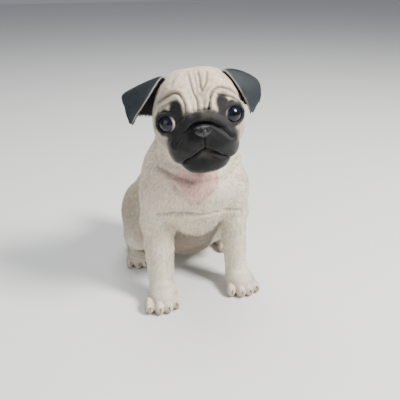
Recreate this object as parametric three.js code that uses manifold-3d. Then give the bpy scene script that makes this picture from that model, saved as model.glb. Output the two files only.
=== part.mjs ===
// A pug puppy that sits upright, forelegs apart, and turns its head to look up at the viewer.
// Millimetres, +Z up. The body faces -Y and its left side is towards +X.
// The origin is on the floor, under the middle of the whole figure.
//
// The flesh is one smooth distance field, built from named rounded masses: balls and bones that melt
// into each other. A grid of cells turns the field into closed surfaces, and thin plane cuts part them
// where a person would name a new part. Lids, rolls of skin, ears, tail and claws are swept shapes.
import * as THREE from "three";
import { mergeVertices } from "three/addons/utils/BufferGeometryUtils.js";
import Module from "manifold-3d";

const wasm = await Module();
wasm.setup();

// Driving sizes
const GAP = 0.3; // between parts that touch
const HEAD_AT = [-2.8, -22, 176]; // middle of the skull, level with the eyes
const HEAD_TURN = -14; // degrees, to the puppy's right
const HEAD_LIFT = 8; // degrees, the face tipped up
const HEAD_TILT = 7.5; // degrees, the right ear lower than the left
const EYE_APART = 24.2; // from the midline to each eye
const EYE_RADIUS = 9;
const WRIST_Y = { right: -10.5, left: -5 }; // the right forefoot is a step ahead
const BODY_CELL = 8; // width of a grid cell on the body
const HEAD_CELL = 6;
const PAW_CELL = 4.3;

// Small vector tools
const add = (a, b) => [a[0] + b[0], a[1] + b[1], a[2] + b[2]];
const sub = (a, b) => [a[0] - b[0], a[1] - b[1], a[2] - b[2]];
const scale = (a, s) => [a[0] * s, a[1] * s, a[2] * s];
const dot = (a, b) => a[0] * b[0] + a[1] * b[1] + a[2] * b[2];
const cross = (a, b) => [
  a[1] * b[2] - a[2] * b[1],
  a[2] * b[0] - a[0] * b[2],
  a[0] * b[1] - a[1] * b[0],
];
const length = (a) => Math.hypot(a[0], a[1], a[2]);
const unit = (a) => scale(a, 1 / length(a));
const mirror = (p, s) => [p[0] * s, p[1], p[2]];
const clamp = (v, lo, hi) => Math.min(Math.max(v, lo), hi);
const smooth = (lo, hi, v) => {
  const t = clamp((v - lo) / (hi - lo), 0, 1);
  return t * t * (3 - 2 * t);
};

// A turn of x, then y, then z degrees, as three rows.
function turned([x, y, z]) {
  const [cx, cy, cz] = [x, y, z].map((d) => Math.cos(THREE.MathUtils.degToRad(d)));
  const [sx, sy, sz] = [x, y, z].map((d) => Math.sin(THREE.MathUtils.degToRad(d)));
  return [
    [cz * cy, cz * sy * sx - sz * cx, cz * sy * cx + sz * sx],
    [sz * cy, sz * sy * sx + cz * cx, sz * sy * cx - cz * sx],
    [-sy, cy * sx, cy * cx],
  ];
}
const forwards = (rows, p) => rows.map((row) => dot(row, p));
const backwards = (rows, p) =>
  add(add(scale(rows[0], p[0]), scale(rows[1], p[1])), scale(rows[2], p[2]));

// Masses. Each tells how far a point is outside it, and how softly it melts into the others.
function ball(at, radii, { turn = [0, 0, 0], soft = 10 } = {}) {
  const rows = turned(turn);
  const far = (p) => {
    const q = backwards(rows, sub(p, at));
    const k0 = Math.hypot(q[0] / radii[0], q[1] / radii[1], q[2] / radii[2]);
    const k1 = Math.hypot(q[0] / radii[0] ** 2, q[1] / radii[1] ** 2, q[2] / radii[2] ** 2);
    return k1 < 1e-9 ? -Math.min(...radii) : (k0 * (k0 - 1)) / k1;
  };
  return { far, soft };
}
// A bone has round ends of two sizes and straight sides between them.
function bone(a, b, ra, rb, { soft = 10 } = {}) {
  const ba = sub(b, a);
  const l2 = dot(ba, ba);
  const rr = ra - rb;
  const a2 = l2 - rr * rr;
  const far = (p) => {
    const pa = sub(p, a);
    const y = dot(pa, ba);
    const z = y - l2;
    const x = sub(scale(pa, l2), scale(ba, y));
    const x2 = dot(x, x);
    const y2 = y * y * l2;
    const z2 = z * z * l2;
    const k = Math.sign(rr) * rr * rr * x2;
    if (Math.sign(z) * a2 * z2 > k) return Math.sqrt(x2 + z2) / l2 - rb;
    if (Math.sign(y) * a2 * y2 < k) return Math.sqrt(x2 + y2) / l2 - ra;
    return (Math.sqrt((x2 * a2) / l2) + y * rr) / l2 - ra;
  };
  return { far, soft };
}
const meet = (d, e, soft) => {
  const h = Math.max(soft - Math.abs(d - e), 0);
  return Math.min(d, e) - (soft > 0 ? (h * h) / (4 * soft) : 0);
};
const melt = (masses) => (p) => masses.reduce((d, m) => meet(d, m.far(p), m.soft), 1e3);

// The head's own frame: the face looks along -Y and the eyes are level with the origin.
const headRows = (() => {
  const tilt = turned([0, -HEAD_TILT, 0]);
  const lift = turned([-HEAD_LIFT, 0, 0]);
  const turn = turned([0, 0, HEAD_TURN]);
  const place = (e) => forwards(turn, forwards(lift, forwards(tilt, e)));
  const columns = [place([1, 0, 0]), place([0, 1, 0]), place([0, 0, 1])];
  return [0, 1, 2].map((r) => columns.map((c) => c[r]));
})();
const toHead = (p) => backwards(headRows, sub(p, HEAD_AT));
const fromHead = (p) => add(HEAD_AT, forwards(headRows, p));

// Masses of the head. Each is written for the left side; the field mirrors it.
const face = melt([
  ball([0, 5, 7], [34, 35, 32], { soft: 0 }),
  ball([12, 0, 18], [20, 29, 19], { soft: 8 }),
  ball([25, -4, -6], [13.5, 22, 21], { soft: 12 }),
  ball([13, -20, 14], [16, 15, 14], { soft: 10 }),
  ball([0, -24, 3], [22, 14, 14], { soft: 8 }),
  ball([EYE_APART - 0.5, -20.5, 0], [11.5, 10.5, 11], { soft: 4 }),
  ball([0, -22, -13], [28, 20, 17], { soft: 8 }),
  ball([12.5, -31, -17], [14.5, 12, 11.5], { soft: 4 }),
  ball([19, -23.5, -22], [10, 13, 12.5], { soft: 5 }),
]);
const jaw = melt([
  ball([0, -25.5, -31.5], [21.5, 14.5, 12.5], { soft: 0 }),
  ball([0, -8, -27], [23, 20, 14], { soft: 6 }),
]);
const ofHead = (field) => (p) => {
  const q = toHead(p);
  return field([Math.abs(q[0]), q[1], q[2]]);
};

// Masses of the trunk and the legs
function joints(side) {
  const s = side === "right" ? -1 : 1;
  const right = side === "right";
  return {
    s,
    elbow: [right ? -36 : 41, 7, 74],
    wrist: [right ? -38.5 : 41, WRIST_Y[side], 18],
    toes: [right ? -40 : 40.5, WRIST_Y[side] - 22, 0],
    knee: [s * 42, 46, 42],
    hock: [right ? -38 : 46, 99, 11],
    instep: right ? [-40, 70, 8.5] : [58, 74, 8.5],
    stout: right ? [15, 11.4] : [13.2, 10.6],
  };
}
const toeMasses = (at, [half, long, high], apart, splay) =>
  [-1.5, -0.5, 0.5, 1.5].map((k) => {
    const back = Math.abs(k) > 1 ? 4.5 : 0;
    const place = [at[0] + k * apart, at[1] + back + at[2] * k, high - 0.7];
    return ball(place, [half, long, high], { turn: [10, 0, k * splay], soft: 1.2 });
  });
const limbs = ["right", "left"].flatMap((side) => {
  const { s, elbow, wrist, toes, knee, hock, instep, stout } = joints(side);
  return [
    ball([s * 31 + 2, 6, 108], [15, 26, 32], { soft: 12 }),
    bone([s * 35 + 2, 2, 100], elbow, 16, stout[0] + 1, { soft: 10 }),
    bone(elbow, wrist, stout[0], stout[1], { soft: 6 }),
    ball(add(wrist, [0, -8, -7]), [14, 15.5, 11.5], { soft: 6 }),
    ...toeMasses(toes, [4.7, 10, 6.6], 7.6, 7),
    ball([s * 36, 66, 54], [19, 36, 32], { turn: [-14, 0, 0], soft: 9 }),
    bone(knee, hock, 16, 9.5, { soft: 8 }),
    bone(hock, instep, 9.5, 8.8, { soft: 3 }),
    ...toeMasses([instep[0] + (s > 0 ? 4 : 0), instep[1] - 12, s > 0 ? 0.3 : 0], [4.4, 9.5, 6.2], 6.8, 6),
  ];
});
const trunk = melt([
  ball([2, 14, 106], [39, 41, 44], { soft: 0 }),
  bone([1, 28, 108], [0, 78, 64], 36, 40, { soft: 20 }),
  ball([0, 88, 44], [42, 36, 45], { soft: 16 }),
  ball([8, 56, 44], [40, 34, 33], { soft: 8 }),
  bone([1, 2, 96], [6, 36, 62], 30, 33, { soft: 8 }),
  ball([2, -8, 112], [36, 30, 26], { soft: 4 }),
  bone([1, 12, 126], [-3, -4, 162], 34, 31, { soft: 14 }),
  ...limbs,
]);
const NECK_SOFT = 9;
const flesh = (p) => meet(trunk(p), ofHead(face)(p), NECK_SOFT);
const fleshAndJaw = (p) => meet(flesh(p), ofHead(jaw)(p), 3);

// Solids
function solid(geometry) {
  const plain = geometry.clone();
  plain.deleteAttribute("normal");
  plain.deleteAttribute("uv");
  const merged = mergeVertices(plain, 1e-4);
  return new wasm.Manifold(
    new wasm.Mesh({
      numProp: 3,
      vertProperties: new Float32Array(merged.attributes.position.array),
      triVerts: new Uint32Array(merged.index.array),
    }),
  );
}
function facets(points, faces) {
  const geometry = new THREE.BufferGeometry();
  geometry.setAttribute("position", new THREE.Float32BufferAttribute(points.flat(), 3));
  geometry.setIndex(faces);
  return solid(geometry);
}

// A field becomes a closed surface. Each cell that the surface crosses holds one point for each sheet
// of it, drawn onto the surface, and each grid edge that it crosses joins four of them. Where two
// sheets still share an edge, the grid moves a little and the net is made again, a few times at most.
function netted(field, lo, hi, cell, tries = 4) {
  const count = [0, 1, 2].map((k) => Math.ceil((hi[k] - lo[k]) / cell) + 1);
  const index = (i, j, k) => (k * count[1] + j) * count[0] + i;
  const corner = (i, j, k) => [lo[0] + i * cell, lo[1] + j * cell, lo[2] + k * cell];
  const rim = (v, k) => v === 0 || v === count[k] - 1;
  const value = new Float32Array(count[0] * count[1] * count[2]);
  const each = (visit) => {
    for (let k = 0; k + 1 < count[2]; k++) {
      for (let j = 0; j + 1 < count[1]; j++) {
        for (let i = 0; i + 1 < count[0]; i++) visit(i, j, k);
      }
    }
  };
  for (let k = 0; k < count[2]; k++) {
    for (let j = 0; j < count[1]; j++) {
      for (let i = 0; i < count[0]; i++) {
        const closed = rim(i, 0) || rim(j, 1) || rim(k, 2);
        const d = field(corner(i, j, k));
        value[index(i, j, k)] = closed ? Math.max(d, cell * 0.2) : d;
      }
    }
  }
  const offsets = [0, 1, 2, 3, 4, 5, 6, 7].map((m) => [m & 1, (m >> 1) & 1, m >> 2]);
  const edges = [];
  for (let a = 0; a < 8; a++) {
    for (let b = a + 1; b < 8; b++) {
      if (length(sub(offsets[a], offsets[b])) === 1) edges.push([a, b]);
    }
  }
  const points = [];
  const held = new Int32Array(value.length * 8).fill(-1);
  each((i, j, k) => {
    const v = offsets.map(([a, b, c]) => value[index(i + a, j + b, k + c)]);
    const crossings = edges.filter(([a, b]) => v[a] < 0 !== v[b] < 0);
    if (!crossings.length) return;
    const sheet = [0, 1, 2, 3, 4, 5, 6, 7];
    for (let round = 0; round < 4; round++) {
      for (const [a, b] of edges) {
        if (v[a] < 0 && v[b] < 0) sheet[a] = sheet[b] = Math.min(sheet[a], sheet[b]);
      }
    }
    const rim = [[i, 0], [j, 1], [k, 2]].some(([n, d]) => n === 0 || n === count[d] - 2);
    for (const one of new Set(sheet.filter((_, c) => v[c] < 0))) {
      const own = crossings.filter(([a, b]) => sheet[v[a] < 0 ? a : b] === one);
      if (!own.length) continue;
      const sum = own.reduce((total, [a, b]) => {
        const t = v[a] / (v[a] - v[b]);
        return add(total, add(scale(offsets[a], 1 - t), scale(offsets[b], t)));
      }, [0, 0, 0]);
      let p = add(corner(i, j, k), scale(sum, cell / own.length));
      for (let round = 0; round < 4 && !rim; round++) p = drawn(field, p, cell * 0.2);
      sheet.forEach((c, n) => {
        if (c === one && v[n] < 0) held[index(i, j, k) * 8 + n] = points.length;
      });
      points.push(p);
    }
  });
  const faces = [];
  const quad = (a, b, c, d, flip) => {
    const near = length(sub(points[a], points[c])) < length(sub(points[b], points[d]));
    const pair = near ? [[a, b, c], [a, c, d]] : [[a, b, d], [b, c, d]];
    pair.forEach(([x, y, z]) => faces.push(...(flip ? [x, z, y] : [x, y, z])));
  };
  each((i, j, k) => {
    const here = value[index(i, j, k)] < 0;
    [[1, 0, 0], [0, 1, 0], [0, 0, 1]].forEach(([x, y, z], way) => {
      if (here === value[index(i + x, j + y, k + z)] < 0) return;
      if ((way !== 0 && !i) || (way !== 1 && !j) || (way !== 2 && !k)) return;
      const end = here ? [i, j, k] : [i + x, j + y, k + z];
      const ring = [[1, 1], [0, 1], [0, 0], [1, 0]].map(([a, b]) => {
        const back = [[0, a, b], [b, 0, a], [a, b, 0]][way];
        const cellAt = [i - back[0], j - back[1], k - back[2]];
        const [u, v, w] = sub(end, cellAt);
        return held[index(...cellAt) * 8 + u + 2 * v + 4 * w];
      });
      quad(...ring, !here);
    });
  });
  const met = new Set();
  for (let n = 0; n < faces.length; n++) {
    met.add(faces[n] * points.length + faces[n % 3 === 2 ? n - 2 : n + 1]);
  }
  const again = met.size < faces.length && tries > 0;
  const moved = sub(lo, [0.61, 0.37, 0.47]);
  return again ? netted(field, moved, hi, cell, tries - 1) : facets(points, faces);
}
// One step of a point towards the surface of a field.
function drawn(field, p, most) {
  const e = 0.05;
  const d = field(p);
  const g = [0, 1, 2].map((k) => {
    const q = [...p];
    q[k] += e;
    return (field(q) - d) / e;
  });
  const step = clamp(d, -most, most) / Math.max(dot(g, g), 0.2);
  return sub(p, scale(g, step));
}

// A closed surface from rings of points between two poles.
function closed(first, rings, last) {
  const around = rings[0].length;
  const points = [first, ...rings.flat(), last];
  const end = points.length - 1;
  const faces = [];
  const at = (r, k) => 1 + r * around + (k % around);
  for (let k = 0; k < around; k++) {
    faces.push(0, at(0, k + 1), at(0, k));
    faces.push(end, at(rings.length - 1, k), at(rings.length - 1, k + 1));
    for (let r = 0; r + 1 < rings.length; r++) {
      faces.push(at(r, k), at(r, k + 1), at(r + 1, k));
      faces.push(at(r, k + 1), at(r + 1, k + 1), at(r + 1, k));
    }
  }
  const made = facets(points, faces);
  return made.volume() > 0 ? made : facets(points, faces.reverse());
}
// A bar along a smooth line through the given points. Its width follows the share t of its length.
function sweep(points, width, { sides = 10, steps = 16, grow = 0, loop = false } = {}) {
  const line = new THREE.CatmullRomCurve3(points.map((p) => new THREE.Vector3(...p)), loop);
  const at = (t) => line.getPoint(t).toArray();
  const way = (t) => line.getTangent(t).toArray();
  let side = unit(cross(way(0), Math.abs(way(0)[2]) < 0.9 ? [0, 0, 1] : [1, 0, 0]));
  const rings = [];
  const ends = [0, 1].map((t) => add(at(t), scale(way(t), (t ? 1 : -1) * (width(t) * 0.6 + grow))));
  for (let r = 0; r <= steps; r++) {
    const t = r / steps;
    side = unit(sub(side, scale(way(t), dot(side, way(t)))));
    const over = cross(way(t), side);
    rings.push(Array.from({ length: sides }, (_, k) => {
      const a = (2 * Math.PI * k) / sides;
      const spoke = add(scale(side, Math.cos(a)), scale(over, Math.sin(a)));
      return add(at(t), scale(spoke, width(t) + grow));
    }));
  }
  return loop ? hoop(rings) : closed(ends[0], rings, ends[1]);
}
// A closed hoop: the last ring joins the first.
function hoop(rings) {
  const around = rings[0].length;
  const all = rings.slice(0, -1);
  const at = (r, k) => (r % all.length) * around + (k % around);
  const faces = [];
  all.forEach((_, r) => {
    for (let k = 0; k < around; k++) {
      faces.push(at(r, k), at(r, k + 1), at(r + 1, k));
      faces.push(at(r, k + 1), at(r + 1, k + 1), at(r + 1, k));
    }
  });
  const made = facets(all.flat(), faces);
  return made.volume() > 0 ? made : facets(all.flat(), faces.reverse());
}
function globe(at, radii, place = (p) => p, [across, down] = [18, 11]) {
  const rings = Array.from({ length: down - 1 }, (_, r) => {
    const b = (Math.PI * (r + 1)) / down;
    return Array.from({ length: across }, (_, k) => {
      const a = (2 * Math.PI * k) / across;
      const way = [Math.sin(b) * Math.cos(a), -Math.cos(b), Math.sin(b) * Math.sin(a)];
      return place(add(at, [0, 1, 2].map((n) => way[n] * radii[n])));
    });
  });
  const end = (s) => place(add(at, [0, s * radii[1], 0]));
  return closed(end(-1), rings, end(1));
}
// The space in front of every plane. Each plane is a point on it and the way it looks.
function wedge(planes, grow = 0) {
  return planes.reduce((block, [at, way]) => {
    const n = unit(way);
    return block.trimByPlane(n, dot(n, at) - grow);
  }, solid(new THREE.BoxGeometry(900, 900, 900)));
}
const largest = (made) => made.decompose().reduce((a, b) => (a.volume() > b.volume() ? a : b));
function part(whole, planes) {
  return [largest(whole.intersect(wedge(planes))), largest(whole.subtract(wedge(planes, GAP)))];
}

// Head
const earSide = (side) => (side === "left" ? 1 : -1);
const inHead = (points) => points.map(fromHead);
// The depth of the face at a place across and up it, sunk by a share of a roll's thickness.
function onFace([x, z], sink) {
  const far = (y) => face([Math.abs(x), y, z]);
  let [outside, inside] = [-70, 0];
  for (let k = 0; k < 24; k++) {
    const middle = (outside + inside) / 2;
    if (far(middle) > 0) outside = middle;
    else inside = middle;
  }
  return [x, outside + sink, z];
}
// Rolls of skin: places across and up the left half of the face, then thickness at start and end.
const rolls = [
  { at: [[35, 4], [30, 12], [22, 17], [14, 17.5], [9.5, 12], [9.5, 4]], thick: [2.6, 3.4] },
  { at: [[30, -11], [24, -15], [20, -9], [14, 0]], thick: [1.6, 3.6] },
];
const furrows = [
  [[0, 12], [0.5, 22], [0, 33]],
  [[7, 18], [5, 25], [9, 33]],
  [[-7, 16], [-5, 25], [-8, 34]],
];
const noseRoll = [[-26, -21], [-22.5, -13], [-15, -1], [-7, 5], [0, 6], [7, 5], [15, -1], [22.5, -13],
  [26, -21]];
const eyeAt = (s) => [s * EYE_APART, -25, 0];
const eyeLooks = (s) => unit([s * 0.4, -1, 0.04]);
const lidPoints = (s) => {
  const looks = eyeLooks(s);
  const out = unit(cross(looks, [0, 0, -s]));
  const up = cross(looks, scale(out, -s));
  return Array.from({ length: 12 }, (_, k) => {
    const a = (Math.PI * k) / 6;
    const open = THREE.MathUtils.degToRad(66 - 4 * Math.sin(a) ** 2);
    const spread = add(scale(out, Math.cos(a)), scale(up, Math.sin(a)));
    const way = add(scale(looks, Math.cos(open)), scale(spread, Math.sin(open)));
    return add(eyeAt(s), scale(way, EYE_RADIUS + 0.9));
  });
};

// An ear is a sheet drawn through four rows: root, fold, middle of the flap and tip.
const EARS = {
  left: [
    [[21, -8, 26], [26, 4, 25], [28, 14, 16]],
    [[25.5, -10, 33], [39, -2, 30], [52, 7, 21]],
    [[35, -13, 18], [47, -6, 14], [54, 1, 9]],
    [[42, -10, -1], [44, -8, -3], [46.5, -5, -1]],
  ],
  right: [
    [[21, -8, 27], [26, 3, 26], [28, 14, 17]],
    [[25, -10, 35], [40, -1, 31.5], [58, 7, 25]],
    [[40, -13, 19], [50, -5, 19], [59, 2, 13]],
    [[53.5, -9, 4], [55.5, -6, 2], [58, -3, 5]],
  ],
};
function earSheet(side) {
  const rows = EARS[side];
  const columns = [0, 1, 2].map((c) => new THREE.CatmullRomCurve3(
    rows.map((row) => new THREE.Vector3(...row[c])),
  ));
  return (s, t) => {
    const [a, b, c] = columns.map((line) => line.getPoint(t).toArray());
    const crest = sub(scale(b, 2), scale(add(a, c), 0.5));
    return add(add(scale(a, (1 - s) ** 2), scale(crest, 2 * s * (1 - s))), scale(c, s * s));
  };
}
function ear(side, grow = 0) {
  const sheet = earSheet(side);
  const e = 0.01;
  const rings = [];
  const steps = 11;
  const across = 7;
  for (let r = 0; r <= steps; r++) {
    const t = clamp(r / steps, 0.004, 0.996);
    const ring = [];
    for (let face = 1; face >= -1; face -= 2) {
      for (let k = 0; k <= across; k++) {
        const s = face > 0 ? k / across : 1 - k / across;
        const inner = clamp(s, 0.02, 0.98);
        const du = sub(sheet(inner + e, t), sheet(inner - e, t));
        const dv = sub(sheet(inner, Math.min(t + e, 1)), sheet(inner, Math.max(t - e, 0)));
        const edge = smooth(0, 0.16, Math.min(s, 1 - s));
        const half = (1.5 - 0.5 * t) * (0.5 + 0.5 * edge) + grow;
        const rim = scale(unit(du), (s - 0.5) * 2 * grow);
        ring.push(add(add(sheet(s, t), rim), scale(unit(cross(du, dv)), face * half)));
      }
    }
    rings.push(ring.map((p) => fromHead(mirror(p, earSide(side)))));
  }
  const pole = (t) => fromHead(mirror(sheet(0.5, t), earSide(side)));
  const beyond = (t, u) => add(pole(t), scale(unit(sub(pole(t), pole(u))), 1 + grow));
  return closed(beyond(0, 0.05), rings, beyond(1, 0.95));
}

const neckTop = [fromHead([0, 6, -30]), forwards(headRows, [0, -0.55, 0.83])];
const headBox = [add(HEAD_AT, [-54, -60, -56]), add(HEAD_AT, [54, 52, 52])];
const muzzleSpace = (grow) =>
  globe([0, -30, -17], [31 + grow, 30 + grow, 27 + grow], fromHead, [22, 11]);
const noseLeather = (grow) =>
  globe([0, -43, -8], [7 + grow, 5.4 + grow, 5.6 + grow], (p) => {
    const narrow = 1 - 0.2 * smooth(-4, -14, p[2]);
    return fromHead([p[0] * narrow, p[1], p[2]]);
  }, [16, 10]);
const nostril = (s) =>
  sweep(inHead([[s * 1.8, -50, -9], [s * 3, -47.8, -8.6], [s * 5.2, -46.6, -6.6], [s * 7, -46.4, -7.6]]),
    (t) => 1.35 - 0.6 * t, { sides: 8, steps: 8 });

let skull = netted(flesh, ...headBox, HEAD_CELL);
skull = largest(skull.trimByPlane(unit(neckTop[1]), dot(unit(neckTop[1]), neckTop[0])));
for (const s of [-1, 1]) {
  for (const { at, thick } of rolls) {
    const line = at.map(([x, z]) => fromHead(onFace([s * x, z], 1.5)));
    skull = skull.add(sweep(line, (t) => thick[0] + (thick[1] - thick[0]) * smooth(0, 1, t),
      { sides: 6, steps: 8 }));
  }
  skull = skull.add(sweep(inHead(lidPoints(s)), () => 1.5, { sides: 6, steps: 20, loop: true }));
}
const noseLine = noseRoll.map((at) => fromHead(onFace(at, 1.8)));
skull = skull.add(sweep(noseLine, (t) => 2.6 + 2.4 * Math.sin(Math.PI * t), { sides: 8, steps: 15 }));
for (const at of furrows) {
  const line = at.map((place) => fromHead(onFace(place, -0.2)));
  skull = skull.subtract(sweep(line, (t) => 0.7 + 0.7 * Math.sin(Math.PI * t), { sides: 6, steps: 8 }));
}
const eyes = {};
const ears = {};
for (const side of ["left", "right"]) {
  const s = earSide(side);
  const toEye = (grow) => globe(eyeAt(s), [1, 1, 1].map(() => EYE_RADIUS + grow), fromHead);
  eyes[side] = toEye(0);
  skull = skull.subtract(toEye(GAP));
  skull = skull.subtract(globe([s * 34, 0, 14], [6, 8, 9], fromHead, [10, 6]));
  skull = skull.subtract(ear(side, GAP));
  ears[side] = largest(ear(side));
}
const jawField = ofHead(jaw);
const beneath = (made) => largest(made.trimByPlane(unit(neckTop[1]), dot(unit(neckTop[1]), neckTop[0])));
const lowerJaw = beneath(netted(jawField, ...headBox, HEAD_CELL));
skull = largest(skull.subtract(netted((p) => jawField(p) - 0.45, ...headBox, HEAD_CELL)));
let muzzle = largest(skull.intersect(muzzleSpace(0)));
skull = largest(skull.subtract(muzzleSpace(GAP)));
muzzle = largest(muzzle.subtract(noseLeather(GAP)));
let nose = noseLeather(0);
for (const s of [-1, 1]) nose = nose.subtract(nostril(s));
nose = nose.subtract(sweep(inHead([[0, -49.6, -4], [0, -49.2, -9], [0, -47.6, -14]]),
  () => 0.6, { sides: 6, steps: 5 }));

// Trunk
const FLOOR = [[0, 0, 0], [0, 0, 1]];
let body = netted(fleshAndJaw, [-73, -62, -7], [77, 142, 203], BODY_CELL);
body = largest(body.trimByPlane([0, 0, 1], 0));
body = part(body, [neckTop])[1];
const split = (planes) => {
  const [cut, rest] = part(body, planes);
  body = rest;
  return cut;
};
const nodes = {};
nodes.neck = split([[[0, 4, 140], [0, -0.42, 0.91]]]);
const claw = ([x, y, z], splay, size) =>
  sweep([[x, y, z], [x + splay * 0.6, y - 3 * size, z - 0.2], [x + splay, y - 6 * size, z - 2.4]],
    (t) => (1.5 - 1.15 * t) * size, { sides: 5, steps: 3 });
for (const side of ["right", "left"]) {
  const { s, wrist, toes, instep } = joints(side);
  const inward = [[s * 19 + 2, 0, 0], [s, 0, 0]];
  const leg = [inward, [[s * 20 + 2, 0, 71], [s * 0.62, 0, -0.78]], [[0, 25, 0], [0, -1, 0]]];
  const foot = [[wrist[0], wrist[1], 29], [0, -0.2, -1]];
  const pawBox = [add(wrist, [-21, -40, -24]), add(wrist, [21, 20, 23])];
  nodes[`foreleg_${side}`] = part(split(leg), [foot])[1];
  let paw = netted(flesh, ...pawBox, PAW_CELL).intersect(wedge([foot, FLOOR]));
  for (const k of [-1.5, -0.5, 0.5, 1.5]) {
    const y = toes[1] + (Math.abs(k) > 1 ? 4.5 : 0) - 7;
    paw = paw.add(claw([toes[0] + k * 7.9, y, 7.6], k * 0.7, 0.7));
  }
  nodes[`forepaw_${side}`] = largest(paw);

  const flank = [[[s * 26 + 1, 0, 0], [s, 0, 0]], [[0, 25.5, 0], [0, 1, 0]], [[0, 0, 100], [0, 0, -1]]];
  const sole = [[0, 0, 21], [0, 0, -1]];
  nodes[`thigh_${side}`] = part(split(flank), [sole])[1];
  const reach = s > 0 ? [[21, 20, -6], [88, 124, 30]] : [[-84, 20, -6], [-19, 124, 30]];
  let hind = netted(flesh, ...reach, PAW_CELL + 0.4).intersect(wedge([...flank, sole, FLOOR]));
  for (const k of [-1.5, -0.5, 0.5, 1.5]) {
    const x = instep[0] + (s > 0 ? 3.5 : 0) + k * 7;
    const y = instep[1] - 12 + (Math.abs(k) > 1 ? 4.5 : 0) - 6.5;
    hind = hind.add(claw([x, y, 7], k * 0.6, 0.65));
  }
  nodes[`hindpaw_${side}`] = largest(hind);
}
nodes.chest = split([[[0, 45, 90], [0, -0.86, 0.5]]]);
nodes.rump = split([[[0, 92, 60], [0, 0.75, -0.66]]]);
nodes.abdomen = body;

// Tail: it leaves the top of the rump and curls once over the right hip.
const TAIL_ROOT = [0, 108, 78];
const tailLine = (t) => {
  const a = 2 * Math.PI * 1.12 * t - 0.5;
  const r = 13 - 4 * t;
  return [
    TAIL_ROOT[0] - 15 * smooth(0.2, 1, t) + 2,
    TAIL_ROOT[1] + 2 + r * Math.cos(a),
    TAIL_ROOT[2] + 15 + r * Math.sin(a),
  ];
};
const tailLength = (from, to, grow) => {
  const points = Array.from({ length: 9 }, (_, k) => tailLine(from + ((to - from) * k) / 8));
  if (from === 0) points.unshift(add(TAIL_ROOT, [1, 4, -6]));
  return sweep(points, (t) => 8.2 - 3.6 * (from + (to - from) * t), { sides: 10, steps: 10, grow });
};
nodes.tail_base = tailLength(0, 0.5, 0);
nodes.tail_curl = tailLength(0.5, 1, 0);
nodes.tail_curl = largest(nodes.tail_curl.subtract(tailLength(0, 0.5, GAP)));
for (const name of ["rump", "abdomen"]) {
  const room = tailLength(0, 0.5, GAP).add(tailLength(0.5, 1, GAP));
  nodes[name] = largest(nodes[name].subtract(room));
}

Object.assign(nodes, {
  head: skull, muzzle, nose, lower_jaw: lowerJaw,
  ear_left: ears.left, ear_right: ears.right, eye_left: eyes.left, eye_right: eyes.right,
});

const PAINT = {
  fawn: { color: 0xd9c5a6, roughness: 0.85 },
  cream: { color: 0xe9dfce, roughness: 0.85 },
  black_mask: { color: 0x2b2827, roughness: 0.8 },
  ear_charcoal: { color: 0x35343a, roughness: 0.7 },
  nose_leather: { color: 0x131315, roughness: 0.3 },
  eye_dark: { color: 0x14161f, roughness: 0.08 },
};
const paintOf = (name) => {
  if (/^eye/.test(name)) return "eye_dark";
  if (/^ear/.test(name)) return "ear_charcoal";
  if (name === "nose") return "nose_leather";
  if (name === "muzzle" || name === "lower_jaw") return "black_mask";
  return /paw|foreleg/.test(name) ? "cream" : "fawn";
};
const materials = Object.fromEntries(Object.entries(PAINT).map(([name, settings]) => {
  const material = new THREE.MeshStandardMaterial({ ...settings, metalness: 0 });
  material.name = name;
  return [name, material];
}));

// The whole figure, moved so that its box stands centred over the origin.
const box = Object.values(nodes).reduce((all, made) => {
  const { min, max } = made.boundingBox();
  return all.expandByPoint(new THREE.Vector3(...min)).expandByPoint(new THREE.Vector3(...max));
}, new THREE.Box3());
const middle = box.getCenter(new THREE.Vector3());
const group = new THREE.Group();
group.name = "pug_puppy";
for (const [name, made] of Object.entries(nodes)) {
  const { numProp, vertProperties, triVerts } = made.getMesh();
  const geometry = new THREE.BufferGeometry();
  const places = Float32Array.from(vertProperties);
  geometry.setAttribute("position", new THREE.BufferAttribute(places, numProp));
  geometry.setIndex(Array.from(triVerts));
  geometry.translate(-middle.x, -middle.y, -box.min.z);
  geometry.computeVertexNormals();
  const mesh = new THREE.Mesh(geometry, materials[paintOf(name)]);
  mesh.name = name;
  group.add(mesh);
}
export default group;
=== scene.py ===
# %% [markdown]
# A pug puppy sits upright and looks up. The real one is skin over flesh, with a short plush coat, and
# every part of it runs into the next without a seam. It could be sculpted by hand, but here the body is
# one distance field, built from rounded masses that melt together, as clay is built up on an armature.
# This first cell loads the frame, which gives each piece its place.

# %% The frame
import time
import bpy
import mathutils
import numpy as np
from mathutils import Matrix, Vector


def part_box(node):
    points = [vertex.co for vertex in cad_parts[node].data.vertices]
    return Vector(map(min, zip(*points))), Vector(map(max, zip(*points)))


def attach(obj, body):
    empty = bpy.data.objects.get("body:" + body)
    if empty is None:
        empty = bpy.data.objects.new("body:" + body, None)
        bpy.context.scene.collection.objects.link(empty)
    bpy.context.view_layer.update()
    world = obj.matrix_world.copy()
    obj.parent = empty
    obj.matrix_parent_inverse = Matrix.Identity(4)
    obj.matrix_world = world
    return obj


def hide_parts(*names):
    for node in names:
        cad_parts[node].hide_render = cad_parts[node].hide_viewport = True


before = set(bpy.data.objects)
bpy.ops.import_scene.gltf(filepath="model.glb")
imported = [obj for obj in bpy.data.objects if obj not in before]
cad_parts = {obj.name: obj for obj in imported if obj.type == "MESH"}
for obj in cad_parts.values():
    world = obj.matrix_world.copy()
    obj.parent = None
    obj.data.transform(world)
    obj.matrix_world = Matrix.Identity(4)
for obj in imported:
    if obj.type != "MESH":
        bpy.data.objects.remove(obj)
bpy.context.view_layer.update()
started = time.time()
print("the frame has", len(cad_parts), "nodes")

# %% [markdown]
# All shapes are worked out in millimetres in the puppy's own frame: the body faces -Y and its left is
# +X. The head is turned, tipped up and tilted, so it gets a frame of its own. In that frame the two
# halves of the face mirror each other, which keeps its formulas short.

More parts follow.
